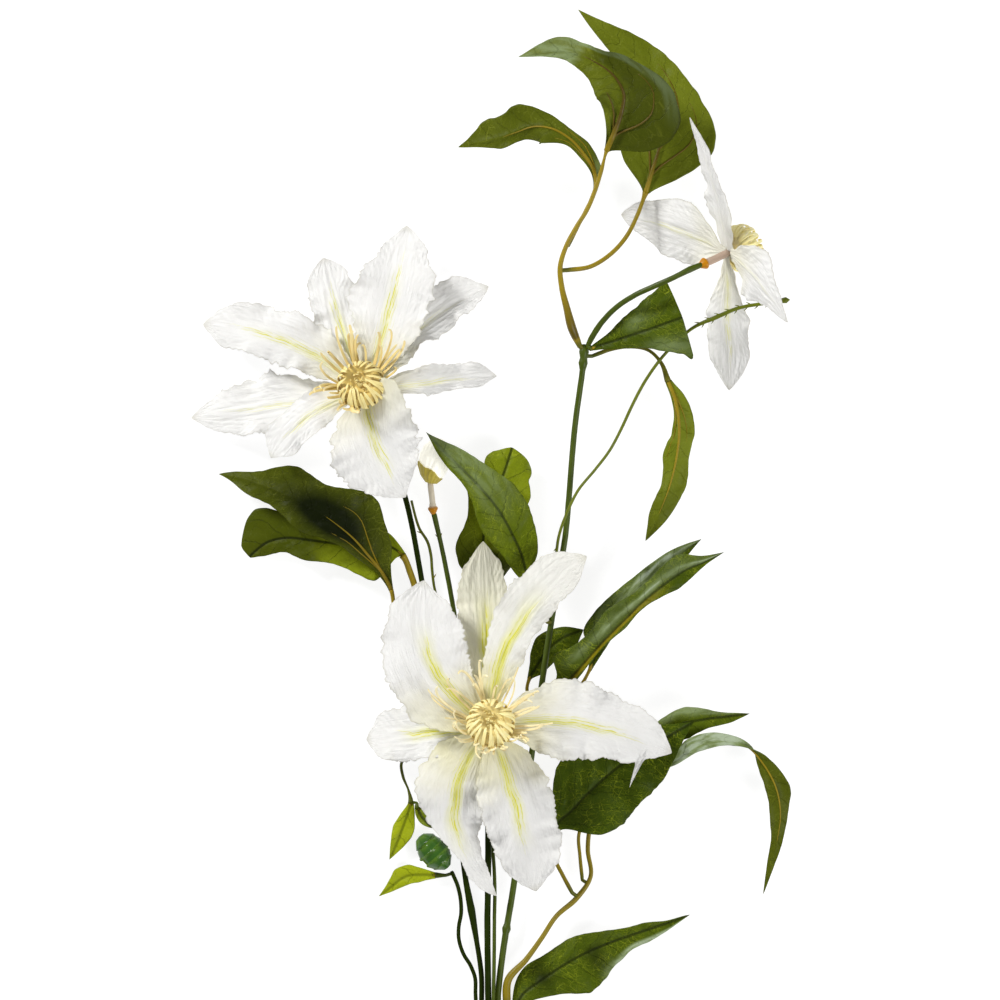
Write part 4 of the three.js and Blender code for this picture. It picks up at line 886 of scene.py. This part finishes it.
def turned(node, seed, slot, material, tint, relief, sides=32, step=SLEEVE_STEP, grow=0.0):
    """A turned piece, coloured by tint(share, angle) and raised by relief(share, angle)."""
    line, width, places = finer(*round_rows(node), step)
    if grow:
        line = np.concatenate([[line[0] - unit(line[1] - line[0]) * grow], line,
                               [line[-1] + unit(line[-1] - line[-2]) * grow]])
        width = capped(width[0] * 0.9, width, width[-1] * 0.45)
        places = capped(0, places + grow, places[-1] + 2 * grow)
    share, angle = (places / places[-1])[:, None], ring_angles(sides)[None]
    points, faces = lifted_tube(line, width, sides, 0.2, relief(share, angle))
    tints = tint(share, angle) * np.ones((len(line), sides))
    parts = Parts("tint")
    parts.add(points, faces, side_mm=capped(0, np.tile(angle * 2, (len(line), 1)), 0),
              along_mm=capped(0, np.repeat(places / MM, sides), 0),
              tint=capped(tints[0, 0], tints, tints[-1, 0]), seed=seed)
    return parts.make(node, "_skin", slot, material)


def neck(node, seed, material=COLLAR):
    """The pale sleeve behind a bloom and the glossy ball at its end."""
    turned(node, seed, "collar", material,
           lambda share, angle: np.clip((share - SLEEVE_END) * 14, 0, 1),
           lambda share, angle: SLEEVE_WAVE * np.sin(angle * 3 + share * 9)
           + BALL_SWELL * np.exp(-((share - SLEEVE_END - 0.11) / 0.06) ** 2)
           - BALL_GROOVE * np.exp(-((share - SLEEVE_END - 0.02) / 0.025) ** 2), grow=NECK_REACH)


def white_bud(node, seed):
    """The closed white bud: petals wrapped round each other, held in an olive cup."""
    def cup(angle):
        return 0.28 + 0.16 * np.sin(angle + CUP_TURN) + 0.02 * np.sin(angle * 5)

    def relief(share, angle):
        wrap = (angle / FULL_TURN * 3 + share * 0.55) % 1.0
        fold = BUD_FOLD * wrap * np.clip(share * 3, 0, 1) * np.clip((1 - share) * 5, 0, 1)
        lip = CUP_LIP * (share < cup(angle))
        crease = BUD_CREASE * np.sin(angle * 17 + share * 5)
        return fold + lip + crease - BUD_SINK

    mesh = turned(node, seed, "petal", GLOWING_BUD_CREAM,
                  lambda share, angle: np.clip((cup(angle) - share) * 40 + 0.5, 0, 1),
                  relief, BUD_SIDES, WHITE_BUD_STEP).data
    mesh.materials.append(BUD_CUP)
    tint = mesh.attributes["tint"].data
    for face in mesh.polygons:
        face.material_index = int(min(tint[v].value for v in face.vertices) > 0.5)


def green_bud(node, seed):
    """The closed green bud, wrapped in glossy overlapping scales."""
    def scale(share, angle):
        row = share * SCALE_ROWS
        turn = (angle / FULL_TURN * SCALES_ROUND + np.floor(row) * 0.5) % 1.0
        return np.clip(row % 1.0 + 0.55 * np.abs(turn - 0.5), 0, 1.2)

    def relief(share, angle):
        height = scale(share, angle)
        fade = np.clip(share * 6, 0, 1) * np.clip((1 - share) * 4, 0, 1)
        return fade * (SCALE_HEIGHT * height * (height < 1.0) - SCALE_SINK)

    turned(node, seed, "bud", BUD_GREEN,
           lambda share, angle: np.clip(scale(share, angle) - 0.55, 0, 0.6) * 0.8,
           relief, BUD_SIDES, GREEN_BUD_STEP)


# -------------------------------- flower centres
DOME_STRIPS, INNER_STRIPS, FILAMENTS = 30, 40, 44
STRIP_WIDTH, INNER_WIDTH, THREAD_WIDTH = 0.72, 0.44, 0.56       # half widths in mm
LONG_POINTS, SHORT_POINTS = 18, 8       # along the strips and threads, and the inner strips
RIBBON_SIDES = 12
CORE_SIDES, HUB_SIDES = 40, 24
DOME_CORE = ((0.35, 0.0), (0.80, 0.08), (0.88, 0.40), (0.84, 0.66), (0.66, 0.74), (0.58, 0.66),
             (0.36, 0.60))              # radius and height shares of the hollow core
CORE_TOP = 0.56
STRIP_BEND = ((0.62, -0.04), (0.90, 0.14), (1.0, 0.40), (0.98, 0.64), (0.87, 0.86),
              (0.70, 0.99), (0.54, 1.01), (0.42, 0.93))     # and of each strip, foot to tip
HUB = ((0.05, -2.0), (0.35, -2.0), (0.37, -1.2), (0.34, -0.45), (0.05, -0.4))  # radius share, mm up
HUB_LOW, HUB_HIGH = -2.02, -0.38        # mm up
THREAD_ROOT = 0.26          # share of the dome's radius at which the threads begin
BARE_WITHIN = 0.62          # cosine of the angle from the bare direction
END_RING = 0.2 * MM         # points within this of a CAD dome's end belong to its end ring


def dome_frame(node):
    """Centre of the base, axis, two directions across it, radius and height of a CAD dome."""
    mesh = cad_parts[node].data
    points = np.unique(np.round(np.array([v.co[:] for v in mesh.vertices]), 6), axis=0)
    centre = points.mean(axis=0)
    axis = np.linalg.svd(points - centre)[2][2]
    level = (points - centre) @ axis
    spread = np.linalg.norm((points - centre) - level[:, None] * axis, axis=1)
    low_ring = spread[level < level.min() + END_RING].max()
    high_ring = spread[level > level.max() - END_RING].max()
    base = centre + axis * level.min()
    if high_ring < low_ring:
        base, axis = centre + axis * level.max(), -axis
    side = unit(np.cross((0.0, 1.0, 0.0), axis))
    return base, axis, side, np.cross(axis, side), spread.max(), np.ptp(level)


def ribbon(parts, line, width, face, seed, tints, length, flat=0.42, edge=0.3):
    """A flat stamen with two low ridges on its face and deeper coloured edges, on the dome's strips
    painted shade between neighbours.
    """
    points, faces = tube(line, width, RIBBON_SIDES, flat=flat, up=face)
    body = points[1:-1].reshape(len(line), RIBBON_SIDES, 3)
    body[:, 3] -= face * (width * flat * 0.75)[:, None]
    points[1:-1] = body.reshape(-1, 3)
    rim = edge * np.array([1, 0.4, 0, 0.4, 0, 0.4, 1] + [1.5] * 5)
    values = np.broadcast_to(tints, len(line))[:, None] + rim[None]
    run = np.repeat(np.linspace(0, length, len(line)), RIBBON_SIDES)
    parts.add(points, faces, seed=seed, side_mm=np.arange(len(points)) % RIBBON_SIDES * 0.5,
              along_mm=capped(0, run, length), tint=capped(values[0, 0], values, values[-1, -1]))


def dome(node, seed, lean, amber):
    """The crown of flat incurved stamens, open over an amber hollow; lean moves the opening."""
    base, axis, side, other, radius, height = dome_frame(node)
    chance = random.Random(seed * 31)
    lean = np.array([*lean, 0.0])
    lean = (lean - axis * lean.dot(axis)) * MM
    parts = Parts("tint")
    rings = [(base + axis * h * height + lean * 0.6 * h * h, r * radius) for r, h in DOME_CORE]
    lathe(parts, base + axis * 0.02 * height, rings, base + axis * CORE_TOP * height, side, other,
          CORE_SIDES, tint=0.4 + 1.5 * amber, seed=seed)
    knots = np.linspace(0, 1, len(STRIP_BEND))
    for k in range(DOME_STRIPS):
        turn = (k + chance.uniform(-0.38, 0.38)) / DOME_STRIPS * FULL_TURN
        twist = chance.uniform(-0.34, 0.34)
        tall = chance.uniform(0.92, 1.07)
        reach = chance.choice((0.74, 0.84, 0.92, 1.0, 1.0))
        u = np.linspace(0, reach, LONG_POINTS)
        r, h = spline(knots, np.array(STRIP_BEND), u).T
        r = r + 0.02 * math.sin(k * 2.4) - 0.05 * chance.random() * u
        turns = turn + twist * u * u
        out = np.cos(turns)[:, None] * side + np.sin(turns)[:, None] * other
        line = base + axis * (h * tall * height)[:, None] + out * (r * radius)[:, None]
        line = line + lean * (u ** 2)[:, None]
        width = (STRIP_WIDTH - 0.14 * u) * MM * chance.uniform(0.85, 1.15)
        width = width * np.clip((reach - u) / 0.06, 0.45, 1)
        face = unit(out + axis * np.clip(u * 1.6 - 0.5, 0, 1.2)[:, None])
        # Deeper towards each strip's foot and edges: painted shade low between the strips, over the
        # bloom's amber colour and random tone.
        deep = 0.6 * amber + np.clip(0.45 - u * 1.3, 0, 0.45) + 0.16 * chance.random()
        ribbon(parts, line, width, face, k, deep, 14, edge=0.35 + 1.3 * amber)
    for k in range(INNER_STRIPS):
        turn = chance.uniform(0, FULL_TURN)
        away = chance.uniform(0.05, 0.62)
        out = math.cos(turn) * side + math.sin(turn) * other
        foot = base + axis * (CORE_TOP - 0.04) * height + out * radius * away + lean * 0.3
        tip = foot + axis * height * chance.uniform(0.2, 0.42) - out * chance.uniform(-1, 1.6) * MM
        tip = tip + np.cross(axis, out) * chance.uniform(-1.6, 1.6) * MM
        u = np.linspace(0, 1, SHORT_POINTS)[:, None]
        line = foot * (1 - u) + tip * u + np.sin(u * math.pi) * out * 0.5 * MM
        ribbon(parts, line, np.full(SHORT_POINTS, INNER_WIDTH * MM),
               np.broadcast_to(out, line.shape), k + 50, 0.5 * amber + 0.2 * chance.random(), 5)
    parts.make(node, "_strips", "stamen", GLOWING_CROWN)


def stamens(node, dome_node, seed, scale, amber, stout, bare):
    """Long thin stamens that radiate from under the dome and hook upwards at their tips.

    Those that lie within about 50 degrees of the bare direction are left out.
    """
    base, axis, side, other, radius, _ = dome_frame(dome_node)
    chance = random.Random(seed * 47)
    parts = Parts("tint")
    lathe(parts, base + axis * HUB_LOW * MM, [(base + axis * h * MM, r * radius) for r, h in HUB],
          base + axis * HUB_HIGH * MM, side, other, HUB_SIDES, tint=0.6)
    u = np.linspace(0, 1, LONG_POINTS)[:, None]
    for k in range(FILAMENTS):
        turn = (k + chance.uniform(-0.45, 0.45)) / FILAMENTS * FULL_TURN
        turn += 0.17 * math.sin(turn * 6 + seed)
        out = math.cos(turn) * side + math.sin(turn) * other
        if bare and out[0] * bare[0] + out[1] * bare[1] > BARE_WITHIN:
            continue
        across = np.cross(axis, out)
        upward = np.clip(out[1] * 0.9 + 0.75, 0.0, 1.0)
        reach = radius * (1.2 + upward * chance.uniform(0.4, 1.6)) * scale
        climb = chance.uniform(4.0, 10.0) * MM * scale
        hook = chance.uniform(-4.5, 4.5) * MM * scale
        foot = base - axis * 0.8 * MM + out * radius * THREAD_ROOT
        run = out * (reach - radius * THREAD_ROOT)
        knee = foot + run * 0.6 + axis * 0.8 * MM
        end = foot + run + axis * climb + across * hook
        curl = (end + axis * chance.uniform(0.3, 2.0) * MM + across * hook * 0.7
                - out * chance.uniform(-0.5, 4.0) * MM * scale)
        line = (foot * (1 - u) ** 3 + knee * 3 * u * (1 - u) ** 2 + end * 3 * u ** 2 * (1 - u)
                + curl * u ** 3)
        width = (THREAD_WIDTH - 0.16 * u[:, 0]) * MM * chance.uniform(0.75, 1.15) * stout
        width[-2:] *= (0.9, 0.55)
        tints = 1.3 * amber + 0.5 * (1 - u[:, 0]) ** 1.5 + 0.2 * chance.random()
        if k % 14 == 3:     # a few have browned tips
            tints[-1] = 1.9
        ribbon(parts, line, width, np.broadcast_to(axis, line.shape), k, tints, 18,
               flat=0.4, edge=0.22)
    parts.make(node, "_threads", "stamen", STAMEN)


# -------------------------------- the whole spray
LEAF_LOOKS = {              # the colour's tone, painted sheen, gold and painted shade, then ribs, stalk and outline
    "upper_right_leaf": dict(
        tone=0.66, brown=0.7, ribs=2, midrib=0.4, wave=6.5, lobes=0.15, bold=1.3,
        shade=lambda s, c: 0.22 * rise(c, -0.2, 0.5) * rise(s, 0.5, 0.1)),
    "upper_centre_leaf": dict(
        tone=0.42, brown=0.85, ribs=1, midrib=0.62, lobes=0.01, sleeve=0.7, bold=1.5,
        satin=lambda s, c: 0.9 * np.maximum(
            rise(s, 0.62, 0.68), rise(-c, 0.70, 0.80) * rise(s, 0.2, 0.35)),
        shade=lambda s, c: 0.5 * rise(-c, 0.0, 0.25) * rise(s, 0.66, 0.5)),
    "upper_left_leaf": dict(
        tone=0.26, brown=0.15, ribs=1, midrib=0.72, wave=3.4, lobes=0.16,
        satin=lambda s, c: 0.9 * rise(s, 0.2, 0.06) * rise(-c, 0.1, 0.4)),
    "folded_leaf": dict(
        tone=0.12, satin=lambda s, c: 0.6 * spot(s, c, 0.8, 0.75, 0.22, 0.3)
        + 0.6 * spot(s, c, 0.55, -0.5, 0.12, 0.3)),
    "hanging_leaf": dict(
        tone=0.95, ribs=1, stalk=0.3,
        gold=lambda s, c: rise(np.abs(c), 0.42, 0.2) * rise(s, 0.22, 0.05),
        shade=lambda s, c: 0.35 * rise(s, 0.45, 0.9)),
    "left_leaf": dict(
        tone=0.08, ribs=1, brown=0.35, midrib=0.45, wave=4.5, lobes=0.15,
        shade=lambda s, c: 1.35 * spot(s, c, 0.43, 0.05, 0.26, 0.8)),
    "left_back_leaf": dict(
        tone=1.0, wave=4.5, lobes=0.15, shade=lambda s, c: 0.75 * rise(s, 0.4, 0.6)),
    "middle_leaf": dict(
        tone=0.30, satin=lambda s, c: 0.7 * rise(s, 0.3, 0.75) * rise(c, -0.9, -0.2)),
    "middle_back_leaf": dict(
        tone=0.75, wave=4.5, lobes=0.15, blunt=0.9,
        shade=lambda s, c: 0.8 * rise(s, 0.60, 0.3)),
    "long_right_leaf": dict(
        tone=0.14, midrib=0.5, lobes=0.14,
        satin=lambda s, c: 0.2 * rise(-c, -0.1, 0.2) * rise(s, 0.1, 0.4)
        + 1.3 * rise(s, 0.1, 0.35) * np.exp(-((c + 0.62 - 0.4 * s) / 0.13) ** 2),
        gold=lambda s, c: 0.9 * rise(c, -0.05, 0.15) * rise(c, 0.85, 0.6) * rise(s, 0.75, 0.5)),
    "long_right_back_leaf": dict(
        tone=0.10, lobes=0.14, satin=lambda s, c: 1.9 * spot(s, c, 0.7, -0.4, 0.3, 0.45)),
    "small_right_leaf": dict(tone=0.12),
    "broad_right_leaf": dict(
        tone=0.05, lobes=0.02, wave=9.0, stalk=0.8,
        shade=lambda s, c: 0.4 * spot(s, c, 0.2, 0.2, 0.15, 0.5)),
    "far_right_leaf": dict(
        tone=0.20, lobes=0.15, wave=4.0, stalk=0.8,
        satin=lambda s, c: 0.9 * rise(-c, 0.2, 0.8)),
    "drooping_leaf": dict(
        tone=0.20, stalk=0.8, satin=lambda s, c: 1.6 * rise(s, 0.46, 0.34)),
    "bottom_leaf": dict(
        tone=0.14, stalk=0.8, satin=lambda s, c: 1.4 * rise(c, 0.6, 0.85) * rise(s, 0.45, 0.6),
        shade=lambda s, c: 0.7 * spot(s, c, 0.22, -0.1, 0.05, 0.7)
        + 0.6 * spot(s, c, 0.5, 0.2, 0.06, 0.5)),
    "bud_leaf_upper": dict(tone=1.35, stalk=0.1),
    "bud_leaf_inner": dict(tone=0.6, stalk=0.1),
    "bud_leaf_lower": dict(tone=1.4, stalk=0.1),
}
PETAL_LOOKS = {             # how cream each petal is at its base, and how strong its yellow lines
    "left": ((0.5, 0.9), (0.25, 0.5), (0.5, 0.6), (0.5, 1.0), (0.4, 0.5), (0.7, 0.4), (0.6, 1.0),
             (0.6, 0.9)),
    "centre": ((0.85, 1.35), (1.40, 1.3), (1.1, 1.35), (0.7, 1.0), (0.8, 1.25), (0.9, 1.3),
               (0.9, 1.25)),
    "right": ((0.15, 0.1), (0.3, 0.45), (0.35, 0.6), (0.35, 0.2)),
}
PETAL_EDGE = {"left": 1.0, "centre": 0.8, "right": 0.3}     # how frayed the edges are
PETAL_TRIM = {              # edge, how much narrower, where along and over what share
    "centre_petal_1": (1, 0.30, 0.35, 0.22),
    "centre_petal_3": (0, 0.30, 0.32, 0.22),
    "centre_petal_4": (1, -1.3, 0.85, 0.011),       # wider: a torn sliver
    "centre_petal_6": (1, 0.62, 0.71, 0.20),
}
PETAL_LOBE = {              # edge, where along, over what share, then mm outwards, back and up
    "left_petal_4": (-1, 0.16, 0.20, 5.5, 7.5, 11.0),
}
CENTRE_LOOKS = {            # opening's lean in mm, how amber, threads' length, width, bare side
    "left": ((-2.0, 2.2), 0.30, 1.0, 1.25, (0.86, -0.51)),
    "centre": ((-0.3, 2.4), 0.0, 1.1, 1.0, None),
    "right": ((-0.5, 0.8), -0.35, 0.36, 1.0, None),
}


def build_spray():
    """Every piece of the spray, in a fixed order."""
    CARRIERS.update((node, centre_line(node)) for node in (*STEM_NODES, "main_stem"))
    CARRIERS.update((node, centre_line(node, stalk_only=True)) for node in LEAF_LOOKS)
    for number, (node, looks) in enumerate(LEAF_LOOKS.items()):
        leaf(node, number + 1, **looks)
    seed = 40
    for side, looks in PETAL_LOOKS.items():
        for k, (warm, lines) in enumerate(looks):
            seed += 1
            node = f"{side}_petal_{k + 1}"
            petal(node, seed, warm, lines, PETAL_EDGE[side], PETAL_TRIM.get(node),
                  PETAL_LOBE.get(node))
        lean, amber, scale, stout, bare = CENTRE_LOOKS[side]
        dome(side + "_dome", seed, lean, amber)
        stamens(side + "_stamens", side + "_dome", seed, scale, amber, stout, bare)
        neck(side + "_neck", seed)
    stem("main_stem", 3, grow=3.0 * MM)
    thorns = [(0.955, 1.2 * MM, 0.0), (0.955, 1.2 * MM, math.pi)]
    for number, node in enumerate(STEM_NODES[:5]):
        stem(node, 10 + number, grow=1.0 * MM, barbs=thorns if node == "white_bud_stem" else (),
             material=STEM if node in ("right_flower_stem", "white_bud_stem") else DARK_STEM)
    barbs = [(0.045 + 0.0145 * k, 1.7 * MM, 0.3 + math.pi * (k % 2)) for k in range(15)]
    stem("right_tendril", 21, tint=0.3, barbs=barbs + [(0.95, 1.2 * MM, 0.2)], bud=3.5 * MM,
         material=TENDRIL)
    stem("left_tendril", 22, tint=0.12, barbs=[(0.3, 1.6 * MM, 0.3), (0.72, 1.4 * MM, 3.2)])
    neck("white_bud_neck", 24, IVORY)
    white_bud("white_bud", 25)
    green_bud("green_bud", 26)


# -------------------------------- floor, light and camera
CAMERA_HEIGHT = 5.0         # metres above the level of the blooms
BLOOM_LEVEL = 0.020
SENSOR = 36.0               # millimetres
VIEW_WIDTH = 0.400          # metres of the spray seen across the picture
PICTURE_CENTRE = (3.7 * MM, 89.2 * MM)      # from the middle of the centre bloom's dome
FLOOR_REACH = 6.0
DAYLIGHT = 0.34
LAMPS = (("key", (-1.4, 1.3, 1.2), 0.45, 44), ("fill", (1.4, -0.9, 1.4), 0.9, 30))


def stand(name, data):
    """A new object in the scene."""
    item = bpy.data.objects.new(name, data)
    bpy.context.scene.collection.objects.link(item)
    return item


def build_stage():
    """Pale floor, soft studio light from all round and the camera straight above."""
    mesh = bpy.data.meshes.new("floor")
    corners = ((-1, -1), (1, -1), (1, 1), (-1, 1))
    mesh.from_pydata([(x * FLOOR_REACH, y * FLOOR_REACH, 0) for x, y in corners], [],
                     [(0, 1, 2, 3)])
    m = Recipe("floor_table")
    shade = m.noise(m.place(), 3.0)
    mesh.materials.append(m.surface(
        m.mix(shade, (0.26, 0.26, 0.26), (0.28, 0.28, 0.28)), 0.9,
        m.bump(shade, 0.01 * MM, 0.1), Specular_IOR_Level=0.0,
        Emission_Color=(1, 1, 1, 1), Emission_Strength=0.84))
    stand("floor", mesh)

    dome_low, dome_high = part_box("centre_dome")
    bloom = (dome_low + dome_high) / 2
    camera = bpy.data.cameras.new("camera")
    camera.sensor_width = SENSOR
    camera.lens = SENSOR * CAMERA_HEIGHT / VIEW_WIDTH
    camera.clip_end = 50
    eye = stand("camera", camera)
    eye.location = (bloom.x + PICTURE_CENTRE[0], bloom.y + PICTURE_CENTRE[1],
                    BLOOM_LEVEL + CAMERA_HEIGHT)
    bpy.context.scene.camera = eye

    world = bpy.data.worlds.new("studio")
    world.use_nodes = True
    sky = world.node_tree.nodes["Background"].inputs
    sky["Color"].default_value = (1, 1, 1, 1)
    sky["Strength"].default_value = DAYLIGHT
    bpy.context.scene.world = world
    for name, place, size, energy in LAMPS:
        light = bpy.data.lights.new(name, "AREA")
        light.size, light.energy = size, energy
        lamp = stand(name, light)
        lamp.location = place
        lamp.rotation_euler = (-Vector(place)).to_track_quat("-Z", "Y").to_euler()
    bpy.context.scene.view_settings.view_transform = "Standard"


build_spray()
build_stage()
